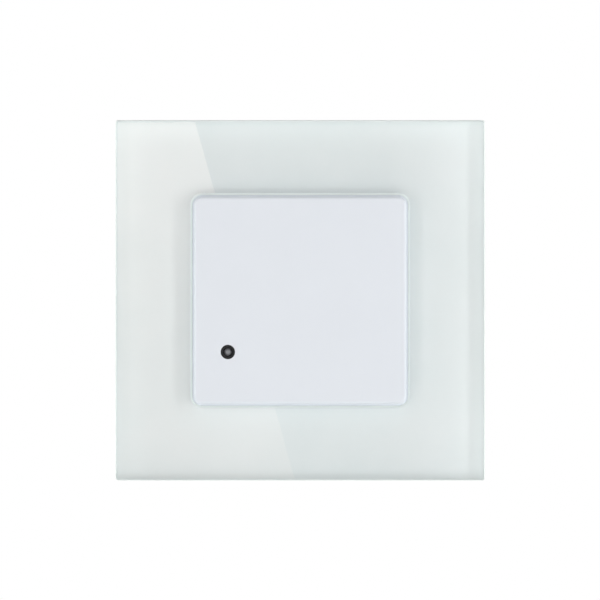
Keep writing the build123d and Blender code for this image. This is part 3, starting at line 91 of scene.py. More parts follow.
def bare_metal(name, bright, dull, roughness, marks, stretch=(1, 1, 1)):
    """Clouded metal with fine marks, marks apart, drawn out along the axis of a small stretch."""
    metal = blank(name)
    place = add(metal, "TexCoord")
    clouds = add(metal, "TexNoise", {"Scale": 1 / METAL_CLOUDS}, {"Vector": (place, "Object")})
    colours = {"stops": [(0.40, dull), (0.62, bright)]}
    tint = add(metal, "ValToRGB", colours, {"Fac": (clouds, "Fac")})
    drawn = add(metal, "Mapping", {"Scale": stretch}, {"Vector": (place, "Object")})
    grain = {"Scale": 1 / marks, "Detail": 4.0, "Roughness": 0.6}
    lines = add(metal, "TexNoise", grain, {"Vector": (drawn, "Vector")})
    span = {"To Min": roughness - MARKS_BRIGHTER, "To Max": roughness + MARKS_DULLER}
    gloss = add(metal, "MapRange", span, {"Value": (lines, "Fac")})
    depth = {"Strength": 0.5, "Distance": METAL_MARK_DEPTH}
    relief = add(metal, "Bump", depth, {"Height": (lines, "Fac")})
    skin = {
        "Base Color": (tint, "Color"),
        "Roughness": (gloss, "Result"),
        "Normal": (relief, "Normal"),
    }
    shader = add(metal, "BsdfPrincipled", {"Metallic": 1.0}, skin)
    add(metal, "OutputMaterial", links={"Surface": (shader, "BSDF")})
    return metal


def dress(material, *names):
    """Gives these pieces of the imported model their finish."""
    for name in names:
        for slot in nodes[name].material_slots:
            slot.material = material


zinc_sheet = bare_metal(
    "zinc_plated_sheet", "c9cccf", "c1c5c9", 0.30, 0.5 * MM, stretch=(0.06, 1, 1)
)
dress(zinc_sheet, "mounting_plate")


# Screws: cold-headed steel, zinc plated in a barrel, so they are a little duller
# than the plate and have no direction in their marks.
barrel_zinc = bare_metal("barrel_plated_steel", "c2c4c6", "b4b7ba", 0.32, 0.25 * MM)
dress(barrel_zinc, "plate_screws", "housing_screws", "board_screws")
dress(barrel_zinc, "clamp_screw_1", "clamp_screw_2", "clamp_screw_3")


# Rear housing: light grey ABS that goes into the wall box. Its mould was spark eroded, which
# gives an even matt grain, drawn at 0.7 mm because the real 0.2 mm is too fine to show.
# The pole numbers beside the wire window stand up from the wall in the same plastic.
PLASTIC_DRIFT = 12 * MM
GLOSS_DRIFT = 0.02
MARK_HEIGHT = 3.0 * MM
MARK_RELIEF = 0.2 * MM


def moulded(name, colour, shade, roughness, grain, depth):
    """Moulded plastic, whose colour drifts a little, under pits grain apart and depth deep."""
    plastic = blank(name)
    place = add(plastic, "TexCoord")
    drift = add(plastic, "TexNoise", {"Scale": 1 / PLASTIC_DRIFT}, {"Vector": (place, "Object")})
    colours = {"stops": [(0.35, shade), (0.65, colour)]}
    tint = add(plastic, "ValToRGB", colours, {"Fac": (drift, "Fac")})
    pits = {"Scale": 1 / grain, "Detail": 1.0, "Roughness": 0.55}
    skin = add(plastic, "TexNoise", pits, {"Vector": (place, "Object")})
    span = {"To Min": roughness - GLOSS_DRIFT, "To Max": roughness + GLOSS_DRIFT}
    gloss = add(plastic, "MapRange", span, {"Value": (skin, "Fac")})
    pressed = {"Strength": 0.6, "Distance": depth}
    relief = add(plastic, "Bump", pressed, {"Height": (skin, "Fac")})
    finish = {
        "Base Color": (tint, "Color"),
        "Roughness": (gloss, "Result"),
        "Normal": (relief, "Normal"),
    }
    shader = add(plastic, "BsdfPrincipled", {"IOR": 1.50}, finish)
    add(plastic, "OutputMaterial", links={"Surface": (shader, "BSDF")})
    return plastic


def centre(name):
    """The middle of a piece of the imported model."""
    low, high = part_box(name)
    return (low + high) / 2


housing_plastic = moulded("spark_eroded_abs", "adb1b4", "aaaeb1", 0.50, 0.70 * MM, 0.08 * MM)
dress(housing_plastic, "rear_housing")

housing_low, housing_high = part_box("rear_housing")
cage_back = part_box("clamp_cage_1")[1].y
for number in (1, 2, 3):
    digit = bpy.data.curves.new(f"pole_mark_{number}", "FONT")
    digit.body = str(number)
    digit.size = MARK_HEIGHT
    digit.extrude = MARK_RELIEF
    digit.align_x = "CENTER"
    digit.align_y = "CENTER"
    digit.materials.append(housing_plastic)
    mark = bpy.data.objects.new(f"pole_mark_{number}", digit)
    pole = centre(f"clamp_screw_{number}")
    mark.location = (pole.x, (cage_back + housing_high.y) / 2, housing_low.z)
    mark.rotation_euler = (math.pi, 0, 0)
    bpy.context.scene.collection.objects.link(mark)
    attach(mark, "root")


# Terminal block: glass-filled nylon, moulded, which leaves a dark, dry, slightly fibrous skin.
# Its clamp cages are pressed from brass, yellow with drawn lines, and its contact bars are
# copper dipped in tin, which has a soft grey shine.
nylon = moulded("glass_filled_nylon", "555a5d", "4b5053", 0.60, 0.22 * MM, 0.02 * MM)
dress(nylon, "terminal_block")
pressed_brass = bare_metal(
    "pressed_brass", "dcbc74", "c6a35c", 0.30, 0.3 * MM, stretch=(1, 0.15, 1)
)
dress(pressed_brass, "clamp_cage_1", "clamp_cage_2", "clamp_cage_3")
tinned = bare_metal("tin_plate", "cfd0d2", "b9bbbe", 0.26, 0.4 * MM)
dress(tinned, "terminal_bars")


# Power board: woven glass and epoxy under a glossy green solder resist. The weave shows faintly
# through it, drawn at 3.1 mm because the real half millimetre is too fine to show. The small
# parts on the board are moulded in black epoxy, dull from its filler.
WEAVE_SPACING = 3.14 * MM
WEAVE_RELIEF = 0.01 * MM
# A wave texture of scale 1 repeats after this length.
WAVE_LENGTH = 2 * math.pi / 20


def solder_resist(name, colour, shade):
    """Green resist over woven glass cloth."""
    board = blank(name)
    place = add(board, "TexCoord")
    threads = []
    for direction in ("X", "Z"):
        weave = {"bands_direction": direction, "Scale": WAVE_LENGTH / WEAVE_SPACING}
        threads.append(add(board, "TexWave", weave, {"Vector": (place, "Object")}))
    cloth = {0: (threads[0], "Fac"), 1: (threads[1], "Fac")}
    crossing = add(board, "Math", {"operation": "MULTIPLY"}, cloth)
    colours = {"stops": [(0.0, shade), (1.0, colour)]}
    tint = add(board, "ValToRGB", colours, {"Fac": (crossing, "Value")})
    raised = {"Strength": 0.3, "Distance": WEAVE_RELIEF}
    relief = add(board, "Bump", raised, {"Height": (crossing, "Value")})
    look = {"Base Color": (tint, "Color"), "Normal": (relief, "Normal")}
    shader = add(board, "BsdfPrincipled", {"IOR": 1.52, "Roughness": 0.28}, look)
    add(board, "OutputMaterial", links={"Surface": (shader, "BSDF")})
    return board


green_board = solder_resist("green_resist_board", "1f7a45", "176538")
dress(green_board, "power_board")
black_epoxy = moulded("moulded_black_epoxy", "1f2022", "191a1c", 0.48, 0.15 * MM, 0.01 * MM)
dress(black_epoxy, "power_board_parts")


# Relay: a moulded polyester case, glossy blue, over its bobbin, coil, soft iron yoke and
# rocking armature. The iron has a thin nickel flash against rust, which looks a warm grey.
# The spring and the contact are gilded bronze, and the bobbin is undyed, milky nylon.
TURN_RELIEF_SHARE = 0.08

relay_plastic = moulded("relay_blue_polyester", "1f4f93", "1a4584", 0.30, 0.8 * MM, 0.005 * MM)
dress(relay_plastic, "relay_case")
dress(black_epoxy, "relay_base")
dress(tinned, "relay_pins")
nickel_flash = bare_metal(
    "nickel_flashed_iron", "b4b1aa", "9c9993", 0.34, 0.3 * MM, stretch=(1, 0.2, 1)
)
dress(nickel_flash, "relay_yoke", "relay_armature")
contact_alloy = bare_metal(
    "gilded_spring_bronze", "dba765", "c48f4f", 0.28, 0.3 * MM, stretch=(0.2, 1, 1)
)
dress(contact_alloy, "relay_spring", "relay_contact")
bobbin_nylon = moulded("natural_nylon", "e2e1da", "d9d8d0", 0.42, 0.4 * MM, 0.01 * MM)
dress(bobbin_nylon, "relay_bobbin")


def wound_wire(name, direction, spacing):
    """Enamelled copper wire side by side, its turns drawn coarser than real so that they show,
    with painted shade in the grooves between them.
    """
    wire = blank(name)
    place = add(wire, "TexCoord")
    rounds = {"bands_direction": direction, "wave_profile": "SIN", "Scale": WAVE_LENGTH / spacing}
    turn_relief_and_shade = add(wire, "TexWave", rounds, {"Vector": (place, "Object")})
    # Painted shade: the copper is painted dark brown in the grooves between turns and bright on
    # their crowns.
    colours = {"stops": [(0.0, "6e2c12"), (0.5, "b8622f")]}
    tint = add(wire, "ValToRGB", colours, {"Fac": (turn_relief_and_shade, "Fac")})
    raised = {"Strength": 1.0, "Distance": spacing * TURN_RELIEF_SHARE}
    relief = add(wire, "Bump", raised, {"Height": (turn_relief_and_shade, "Fac")})
    enamel = {"Metallic": 1.0, "Roughness": 0.30, "Coat Weight": 0.6, "Coat Roughness": 0.10}
    look = {"Base Color": (tint, "Color"), "Normal": (relief, "Normal")}
    shader = add(wire, "BsdfPrincipled", enamel, look)
    add(wire, "OutputMaterial", links={"Surface": (shader, "BSDF")})
    return wire


dress(wound_wire("relay_coil_wire", "X", 1.57 * MM), "relay_winding")


# Filter and supply parts on the power board: a boxed film capacitor, two cans in shrunk
# sleeves, a dipped varistor disc, a moulded fuse, a choke and a small transformer. Dipping,
# shrinking and tape leave a glossy skin, a mould a duller one, and sintered ferrite is matt.
film_box = moulded("yellow_capacitor_box", "e6b62a", "d9a71f", 0.34, 0.6 * MM, 0.005 * MM)
dress(film_box, "film_capacitor")
shrunk_sleeve = moulded("shrunk_dark_sleeve", "23283a", "1c2030", 0.24, 1.5 * MM, 0.01 * MM)
dress(shrunk_sleeve, "can_capacitors")
dipped_epoxy = moulded("dipped_blue_epoxy", "2d64a3", "255691", 0.26, 1.2 * MM, 0.03 * MM)
dress(dipped_epoxy, "varistor")
fuse_shell = moulded("fuse_brown_shell", "4a2a1c", "3f2217", 0.45, 0.3 * MM, 0.01 * MM)
dress(fuse_shell, "fuse")
sintered = moulded("sintered_ferrite", "3a3a3d", "2c2c2f", 0.62, 0.12 * MM, 0.02 * MM)
dress(sintered, "choke_core", "transformer_core")
dress(wound_wire("choke_wire", "Y", 2.51 * MM), "choke_winding")
yellow_tape = moulded("polyester_tape", "d9b92c", "ceae22", 0.22, 2.0 * MM, 0.01 * MM)
dress(yellow_tape, "transformer_coil")


# Chassis: a white ABS moulding that carries both boards, closes the housing and takes the
# cover on its rim. Its mould was matt, as was the one for the carrier behind the glass, so
# the light on both is soft.
white_moulding = moulded("matt_white_moulding", "dcdedf", "d7d9da", 0.50, 0.30 * MM, 0.02 * MM)
dress(white_moulding, "chassis")


# Front board: the radar board. Copper tracks lie under the resist and raise it a little,
# the pads for the chip and the small parts are tinned, and a white print by each trimmer
# shows which way is less and which is more.
def piece(name, body, material, points, faces, smooth=False):
    """A mesh piece in place, which takes its finish from a slot and moves with a body."""
    mesh = bpy.data.meshes.new(name)
    mesh.from_pydata(points, [], faces)
    mesh.materials.append(material)
    mesh.polygons.foreach_set("use_smooth", [smooth] * len(faces))
    thing = bpy.data.objects.new(name, mesh)
    bpy.context.scene.collection.objects.link(thing)
    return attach(thing, body)


def strips(name, material, runs, front, back):
    """Flat strips on a board: each run goes from one (x, z) to another, with a width."""
    points = []
    faces = []
    for start, end, width in runs:
        first = Vector((start[0], 0, start[1]))
        last = Vector((end[0], 0, end[1]))
        along = (last - first).normalized() * width / 2
        side = Vector((-along.z, 0, along.x))
        corners = (first - along - side, last + along - side)
        corners += (last + along + side, first - along + side)
        count = len(points)
        for depth in (front, back):
            points += [(corner.x, depth, corner.z) for corner in corners]
        low = [count, count + 1, count + 2, count + 3]
        faces.append(low)
        faces.append([n + 4 for n in reversed(low)])
        for n in range(4):
            after = (n + 1) % 4
            faces.append((low[after], low[n], low[n] + 4, low[after] + 4))
    return piece(name, "root", material, points, faces)


def chain(places, width):
    """The runs of one track through its places."""
    return [(places[n], places[n + 1], width) for n in range(len(places) - 1)]


def on_plan(*places):
    """Places on the board, (x, z) in millimetres from the middle of the plate, in metres."""
    return [(x * MM, z * MM) for x, z in places]


def evenly(count, pitch):
    """Places along X, pitch apart, with their middle at 0."""
    return [pitch * (n - (count - 1) / 2) for n in range(count)]


dress(green_board, "front_board")
board_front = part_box("front_board")[0].y
chip_low, chip_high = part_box("control_chip")

TRACK_WIDTH = 0.3 * MM
TRACK_RELIEF = 0.035 * MM
LEG_X = evenly(count=8, pitch=1.27 * MM)
PIN_X = evenly(count=5, pitch=2.54 * MM)
PIN_Z = centre("header_pins").z
TRIMMER_X = [centre(f"{name}_rotor").x for name in ("sensitivity", "time", "daylight")]
TRIMMER_TRACK_Z = -9.0 * MM
TRIMMER_LEG = 1.0 * MM
BEND_BY_LEG = -6.6 * MM
BEND_BY_PIN = -7.5 * MM
ANTENNA_FEED = on_plan((9.5, -0.3), (8.3, 0.9), (5.4, 0.9)) + [(LEG_X[-1], 0.0)]
SMALL_PARTS_LINK = on_plan((17.0, -1.5), (15.6, -1.5), (12.4, -4.4), (11.9, -4.4))

tracks = []
for leg, pin in zip(LEG_X[1:6], PIN_X):
    route = [(leg, chip_low.z), (leg, BEND_BY_LEG), (pin, BEND_BY_PIN), (pin, PIN_Z)]
    tracks += chain(route, TRACK_WIDTH)
for side in (-1, 1):
    for half_route in (ANTENNA_FEED, SMALL_PARTS_LINK):
        tracks += chain([(side * x, z) for x, z in half_route], TRACK_WIDTH)
for pin, trimmer in zip(PIN_X[2:], TRIMMER_X):
    route = [(pin, PIN_Z), (pin, TRIMMER_TRACK_Z), (trimmer - TRIMMER_LEG, TRIMMER_TRACK_Z)]
    tracks += chain(route, TRACK_WIDTH)
track_front = board_front - TRACK_RELIEF
raised_resist = solder_resist("resist_over_copper", "2b8f55", "24824c")
strips("board_tracks", raised_resist, tracks, track_front, board_front)

PAD_RELIEF = 0.05 * MM
LEG_PAD_WIDTH = 0.6 * MM
LEG_PAD_BEYOND = 0.2 * MM
LEG_PAD_UNDER = 0.5 * MM
SMALL_PAD_WIDTH = 0.9 * MM
# The columns of small parts, in millimetres: x, half a part's length, and the z of each part.
SMALL_PARTS = (
    (-18.0, 0.8, (-4.0, -1.5, 1.0)),
    (18.0, 0.8, (-6.0, -3.5, -1.0, 1.5)),
    (-11.5, 1.0, (-6.5, -4.0, -1.5)),
    (11.5, 1.0, (-4.5, -2.0)),
)
pads = []
for leg in LEG_X:
    for tip, way in ((chip_low.z, 1), (chip_high.z, -1)):
        beyond = (leg, tip - way * LEG_PAD_BEYOND)
        under = (leg, tip + way * LEG_PAD_UNDER)
        pads.append((beyond, under, LEG_PAD_WIDTH))
for column, half, heights in SMALL_PARTS:
    for height in heights:
        left, right = on_plan((column - half, height), (column + half, height))
        pads.append((left, right, SMALL_PAD_WIDTH))
pad_front = board_front - PAD_RELIEF
strips("board_pads", tinned, pads, pad_front, board_front)

# The print is screened white ink, flat and dull.
INK_RELIEF = 0.02 * MM
SIGN_Z = -17.0 * MM
SIGN_ASIDE = 2.85 * MM
SIGN_ARM = 0.45 * MM
SIGN_WIDTH = 0.25 * MM
signs = []
for trimmer in TRIMMER_X:
    minus = trimmer - SIGN_ASIDE
    plus = trimmer + SIGN_ASIDE
    for sign in (minus, plus):
        signs.append(((sign - SIGN_ARM, SIGN_Z), (sign + SIGN_ARM, SIGN_Z), SIGN_WIDTH))
    signs.append(((plus, SIGN_Z - SIGN_ARM), (plus, SIGN_Z + SIGN_ARM), SIGN_WIDTH))
white_ink = moulded("screen_printed_ink", "e8e8e4", "deded9", 0.60, 0.10 * MM, 0.005 * MM)
sign_front = board_front - INK_RELIEF
strips("trimmer_signs", white_ink, signs, sign_front, board_front)


# Patch antennas: copper on the face of the board, gold plated against tarnish, which keeps it
# a clear yellow, and the oscillator's screening can, which is tin plate folded and soldered
# to the board's back.
gilt_copper = bare_metal("gold_plated_copper", "e7c06d", "d8ad58", 0.24, 0.35 * MM)
dress(gilt_copper, "patch_antennas")
dress(tinned, "radar_shield")


# Control chip and small parts: dull black moulded epoxy with tinned legs, and brown ceramic
# bricks with tinned ends. The tin begins where the plastic or ceramic body stops.
LEG_SHOWN = 1.0 * MM
CERAMIC_HALF = 0.6 * MM
BRICK_GRAIN = 0.15 * MM
BRICK_RELIEF = 0.01 * MM


def tipped(name, body_colour, body_shade, roughness, centres, half, axis):
    """A moulded body with tinned ends, further than half from the nearest centre along axis."""
    brick = blank(name)
    place = add(brick, "TexCoord")
    split = add(brick, "SeparateXYZ", links={"Vector": (place, "Object")})
    nearest = None
    for middle in centres:
        shift = {"operation": "SUBTRACT", 1: middle}
        offset = add(brick, "Math", shift, {0: (split, axis)})
        gap = add(brick, "Math", {"operation": "ABSOLUTE"}, {0: (offset, "Value")})
        if nearest:
            pair = {0: (nearest, "Value"), 1: (gap, "Value")}
            gap = add(brick, "Math", {"operation": "MINIMUM"}, pair)
        nearest = gap
    ends = {"operation": "GREATER_THAN", 1: half}
    tip = add(brick, "Math", ends, {0: (nearest, "Value")})
    grain = {"Scale": 1 / BRICK_GRAIN, "Detail": 3.0}
    skin = add(brick, "TexNoise", grain, {"Vector": (place, "Object")})
    colours = {"stops": [(0.3, body_shade), (0.7, body_colour)]}
    tint = add(brick, "ValToRGB", colours, {"Fac": (skin, "Fac")})
    pressed = {"Strength": 0.4, "Distance": BRICK_RELIEF}
    relief = add(brick, "Bump", pressed, {"Height": (skin, "Fac")})
    look = {"Base Color": (tint, "Color"), "Normal": (relief, "Normal")}
    body = add(brick, "BsdfPrincipled", {"Roughness": roughness}, look)
    tin = {"Base Color": linear("cdced0"), "Metallic": 1.0, "Roughness": 0.3}
    metal = add(brick, "BsdfPrincipled", tin, {"Normal": (relief, "Normal")})
    parts = {"Fac": (tip, "Value"), 1: (body, "BSDF"), 2: (metal, "BSDF")}
    shader = add(brick, "MixShader", links=parts)
    add(brick, "OutputMaterial", links={"Surface": (shader, "Shader")})
    return brick


chip_half = (chip_high.z - chip_low.z) / 2 - LEG_SHOWN
chip_middle = (chip_high.z + chip_low.z) / 2
chip_epoxy = tipped("legged_epoxy", "242527", "1a1b1d", 0.5, [chip_middle], chip_half, "Z")
dress(chip_epoxy, "control_chip")
columns = [x * MM for x, half, heights in SMALL_PARTS]
brick_ceramic = tipped("tinned_ceramic", "4a4038", "2b2724", 0.42, columns, CERAMIC_HALF, "X")
dress(brick_ceramic, "front_board_parts")


# Trimmers and header: blue nylon trimmer bodies with white acetal rotors for a small
# screwdriver, both with the soft gloss of a polished mould, and a black header whose
# gold-plated pins come through the board and are soldered, which leaves a bright fillet.
JOINT_RADIUS = 0.85 * MM
JOINT_HEIGHT = 0.4 * MM
JOINT_NECK = 0.40 * MM
JOINT_RINGS = 6
JOINT_SIDES = 20

trimmer_blue = moulded("trimmer_blue_nylon", "2c63b0", "2558a0", 0.36, 0.4 * MM, 0.008 * MM)
dress(trimmer_blue, "trimmer_bodies")
rotor_white = moulded("rotor_white_acetal", "e4e2da", "dbd9d0", 0.40, 0.3 * MM, 0.008 * MM)
dress(rotor_white, "sensitivity_rotor", "time_rotor", "daylight_rotor")
dress(black_epoxy, "header_strip", "header_socket")
dress(gilt_copper, "header_pins")


def turned(name, body, material, profile, centres, sides=40):
    """A round piece at each centre (x, z): profile is (radius, depth) from back to front."""
    points = []
    faces = []
    for x, z in centres:
        first = len(points)
        for radius, depth in profile:
            for step in range(sides):
                angle = 2 * math.pi * step / sides
                points.append((x + radius * math.cos(angle), depth, z + radius * math.sin(angle)))
        for ring in range(len(profile) - 1):
            start = first + ring * sides
            for step in range(sides):
                after = (step + 1) % sides
                near = (start + step, start + after)
                far = (start + after + sides, start + step + sides)
                faces.append(near + far)
        last = len(points) - sides
        faces.append(list(range(first + sides - 1, first - 1, -1)))
        faces.append(list(range(last, last + sides)))
    return piece(name, body, material, points, faces, smooth=True)


def quarter(steps):
    """The cosine and the sine at each step of a quarter turn."""
    angles = [math.pi / 2 * step / steps for step in range(steps + 1)]
    return [(math.cos(angle), math.sin(angle)) for angle in angles]


wetted = []
for across, up in quarter(JOINT_RINGS):
    radius = JOINT_RADIUS - (JOINT_RADIUS - JOINT_NECK) * up
    wetted.append((radius, board_front - JOINT_HEIGHT * (1 - across)))
pins = [(x, PIN_Z) for x in PIN_X]
solder = bare_metal("bright_solder", "d3d4d5", "c4c6c8", 0.18, 0.8 * MM)
turned("pin_solder_joints", "root", solder, wetted, pins, JOINT_SIDES)


# Light sensor: a clear epoxy body with a round lens, cast round its two tinned leads, so it is
# glossy and looks grey with the chip behind it. A black rubber sleeve keeps light from inside
# the cover off it, and its matt mould makes the hole look deep.
RESIN_SWIRL = 0.9 * MM
BASE_HEIGHT = 1.7 * MM
BASE_ROUND = 0.25 * MM
LENS_RADIUS = 0.95 * MM
# The lens closes on a ring this small instead of a point.
TIP_RADIUS = 0.0005 * MM
ARC_STEPS = 10

clear_epoxy = blank("cast_clear_epoxy")
place = add(clear_epoxy, "TexCoord")
swirl = add(clear_epoxy, "TexNoise", {"Scale": 1 / RESIN_SWIRL}, {"Vector": (place, "Object")})
span = {"To Min": 0.02, "To Max": 0.07}
gloss = add(clear_epoxy, "MapRange", span, {"Value": (swirl, "Fac")})
resin = {"Base Color": linear("8a8c90"), "IOR": 1.54, "Transmission Weight": 0.15}
shader = add(clear_epoxy, "BsdfPrincipled", resin, {"Roughness": (gloss, "Result")})
add(clear_epoxy, "OutputMaterial", links={"Surface": (shader, "BSDF")})

sensor_low, sensor_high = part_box("light_sensor")
sensor_middle = centre("light_sensor")
base_radius = (sensor_high.x - sensor_low.x) / 2
base_front = sensor_high.y - BASE_HEIGHT
dome_middle = sensor_low.y + LENS_RADIUS
outline = [(TIP_RADIUS, sensor_high.y), (base_radius, sensor_high.y)]
for across, up in quarter(ARC_STEPS):
    radius = base_radius - BASE_ROUND * (1 - across)
    outline.append((radius, base_front + BASE_ROUND * (1 - up)))
for across, up in quarter(ARC_STEPS):
    radius = max(LENS_RADIUS * across, TIP_RADIUS)
    outline.append((radius, dome_middle - LENS_RADIUS * up))
spot = [(sensor_middle.x, sensor_middle.z)]
lens = turned("sensor_lens", "root", clear_epoxy, outline, spot)
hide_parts("light_sensor")
dress(tinned, "sensor_leads")
black_rubber = moulded("matt_black_rubber", "161718", "111213", 0.70, 0.20 * MM, 0.01 * MM)
dress(black_rubber, "light_shroud")


# Front cover: a shallow white cap in satin polycarbonate, the part that the hand touches.
# Its mould was finely blasted, so the light on it is soft, and it is a shade bluer
# than the print behind the glass.
satin = {"roughness": 0.37, "grain": 0.60 * MM, "depth": 0.0008 * MM}
cover_plastic = moulded("satin_white_polycarbonate", "dee4eb", "dde3ea", **satin)
dress(cover_plastic, "front_cover")


# Carrier and foam tape: the matt white moulding behind the glass grips the plate's lugs,
# and a foam ring bonds the glass to it. The foam is closed-cell, so its skin is dull and
# pitted.
dress(white_moulding, "glass_carrier")
foam = moulded("closed_cell_foam", "e3e3df", "d8d8d3", 0.80, 0.25 * MM, 0.08 * MM)
dress(foam, "glass_tape")


# Back print: opaque white enamel, screened on the back of the glass and fused to it, so
# nothing shines between the two. It stops short of the glass's edges all round.
ENAMEL_MOTTLE = 9 * MM
PRINT_CORNER = 0.5 * MM
PRINT_OFF_COVER = 0.42 * MM
PRINT_WINDOW_CORNER = 2.5 * MM
FUSED_DEPTH = 0.02 * MM


def rounded(width, height, corner, steps=10):
    """The outline of a rectangle with round corners, as (x, z) points."""
    outline = []
    for turn, (side, level) in enumerate(((1, 1), (-1, 1), (-1, -1), (1, -1))):
        for step in range(steps + 1):
            angle = math.pi / 2 * (turn + step / steps)
            x = side * (width / 2 - corner) + corner * math.cos(angle)
            z = level * (height / 2 - corner) + corner * math.sin(angle)
            outline.append((x, z))
    return outline


enamel = blank("fused_white_enamel")
place = add(enamel, "TexCoord")
mottle = {"Scale": 1 / ENAMEL_MOTTLE, "Detail": 3.0}
cloud = add(enamel, "TexNoise", mottle, {"Vector": (place, "Object")})
colours = {"stops": [(0.3, "e6e9eb"), (0.7, "e9ebed")]}
tint = add(enamel, "ValToRGB", colours, {"Fac": (cloud, "Fac")})
look = {"Base Color": (tint, "Color")}
shader = add(enamel, "BsdfPrincipled", {"Roughness": 0.7, "Specular IOR Level": 0.1}, look)
add(enamel, "OutputMaterial", links={"Surface": (shader, "BSDF")})

print_low, print_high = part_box("back_print")
cover_low, cover_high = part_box("front_cover")
window_width = cover_high.x - cover_low.x + 2 * PRINT_OFF_COVER
window_height = cover_high.z - cover_low.z + 2 * PRINT_OFF_COVER
outer = rounded(print_high.x - print_low.x, print_high.z - print_low.z, PRINT_CORNER)
inner = rounded(window_width, window_height, PRINT_WINDOW_CORNER)
points = []
for depth in (print_low.y - FUSED_DEPTH, print_high.y - FUSED_DEPTH):
    for outline in (outer, inner):
        points += [(x, depth, z) for x, z in outline]
# The points are four loops: outer and inner in front, then outer and inner behind.
count = len(outer)
faces = []
for n in range(count):
    after = (n + 1) % count
    loops = [n, count + n, 2 * count + n, 3 * count + n]
    nexts = [after, count + after, 2 * count + after, 3 * count + after]
    for one, two in ((1, 0), (0, 2), (2, 3), (3, 1)):
        faces.append((loops[one], loops[two], nexts[two], nexts[one]))
enamel_ring = piece("enamel_ring", "glass_frame", enamel, points, faces)
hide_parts("back_print")


# Glass panel: 4 mm toughened float glass with a window. Iron makes it slightly green, most of
# all edge on. Its cut edges are ground matt and glow where light falls on them: the outer ones
# hold slanting light off the print beside them, and the window's let scattered light through.
FLOAT_WAVES = 30 * MM
FLOAT_RELIEF = 0.02 * MM
GRIT = 0.15 * MM
GRIT_RELIEF = 0.03 * MM
GROUND_COLOUR = linear("f2f7f5")
GROUND_LETS_IN = 0.20
FACES_FRONT = 0.8
WINDOW_REACH = 30 * MM

glass = blank("toughened_float_glass")
place = add(glass, "TexCoord")

# Shadow and diffuse rays go straight on through the glass, so it throws no dark shadow.
rays = add(glass, "LightPath")
arriving = {0: (rays, "Is Shadow Ray"), 1: (rays, "Is Diffuse Ray")}
lit = add(glass, "Math", {"operation": "MAXIMUM"}, arriving)
passing = add(glass, "BsdfTransparent", {"Color": linear("f8fbfa")})

# The polished faces wave a little, as float glass does.
wave = {"Scale": 1 / FLOAT_WAVES, "Detail": 1.0}
float_lines = add(glass, "TexNoise", wave, {"Vector": (place, "Object")})
swell = {"Strength": 0.05, "Distance": FLOAT_RELIEF}
wavy = add(glass, "Bump", swell, {"Height": (float_lines, "Fac")})
clear = {
    "Base Color": linear("ffffff"),
    "Roughness": 0.0,
    "IOR": 1.52,
    "Transmission Weight": 1.0,
}
body = add(glass, "BsdfPrincipled", clear, {"Normal": (wavy, "Normal")})
parts = {"Fac": (lit, "Value"), 1: (body, "BSDF"), 2: (passing, "BSDF")}
polished = add(glass, "MixShader", links=parts)

# The ground edges scatter light back and let some in.
grit = {"Scale": 1 / GRIT, "Detail": 3.0}
frost = add(glass, "TexNoise", grit, {"Vector": (place, "Object")})
scratched = {"Strength": 0.5, "Distance": GRIT_RELIEF}
pitted = add(glass, "Bump", scratched, {"Height": (frost, "Fac")})
sent_back = add(glass, "BsdfDiffuse", {"Color": GROUND_COLOUR}, {"Normal": (pitted, "Normal")})
let_in = add(glass, "BsdfTranslucent", {"Color": GROUND_COLOUR}, {"Normal": (pitted, "Normal")})
both = {1: (sent_back, "BSDF"), 2: (let_in, "BSDF")}
ground = add(glass, "MixShader", {"Fac": GROUND_LETS_IN}, both)

# Nearer to the middle than the window's reach, an edge is the window's.
spot = add(glass, "SeparateXYZ", links={"Vector": (place, "Object")})
aside = add(glass, "Math", {"operation": "ABSOLUTE"}, {0: (spot, "X")})
aloft = add(glass, "Math", {"operation": "ABSOLUTE"}, {0: (spot, "Z")})
pair = {0: (aside, "Value"), 1: (aloft, "Value")}
reach = add(glass, "Math", {"operation": "MAXIMUM"}, pair)
near = {"operation": "LESS_THAN", 1: WINDOW_REACH}
window = add(glass, "Math", near, {0: (reach, "Value")})
both = {0: (window, "Value"), 1: (lit, "Value")}
through = add(glass, "Math", {"operation": "MULTIPLY"}, both)
parts = {"Fac": (through, "Value"), 1: (ground, "Shader"), 2: (passing, "BSDF")}
matt = add(glass, "MixShader", links=parts)

# A face is polished where it looks straight to the front or the back, and else ground.
normal = add(glass, "SeparateXYZ", links={"Vector": (place, "Normal")})
facing = add(glass, "Math", {"operation": "ABSOLUTE"}, {0: (normal, "Y")})
turned_away = {"operation": "LESS_THAN", 1: FACES_FRONT}
cut_edge = add(glass, "Math", turned_away, {0: (facing, "Value")})
parts = {"Fac": (cut_edge, "Value"), 1: (polished, "Shader"), 2: (matt, "Shader")}
shader = add(glass, "MixShader", links=parts)
iron = add(glass, "VolumeAbsorption", {"Color": (0.0, 1.0, 0.90, 1.0), "Density": 2.5})
add(glass, "OutputMaterial", links={"Surface": (shader, "Shader"), "Volume": (iron, "Volume")})
dress(glass, "glass_panel")


# Stage: a pale paper floor well below the sensor, which hangs upright as it would on its wall.
# A viewer sees the paper pale at any light, apart from the sensor's shadow on it. From below
# it lets everything through.
FLOOR_LEVEL = -450 * MM
FLOOR_HALF = 2.0
FLOOR_FRONT = -1.5
FIBRE_CLOUDS = 40 * MM
PALE_LEVEL = 1.1
PALE_SHARE = 0.85


def seen_rays(material):
    """A node that is 1 for what a viewer sees straight, mirrored or through glass, and else 0."""
    rays = add(material, "LightPath")
    mirrored = {0: (rays, "Is Camera Ray"), 1: (rays, "Is Glossy Ray")}
    seen = add(material, "Math", {"operation": "MAXIMUM"}, mirrored)
    through = {0: (seen, "Value"), 1: (rays, "Is Transmission Ray")}
    return add(material, "Math", {"operation": "MAXIMUM"}, through)


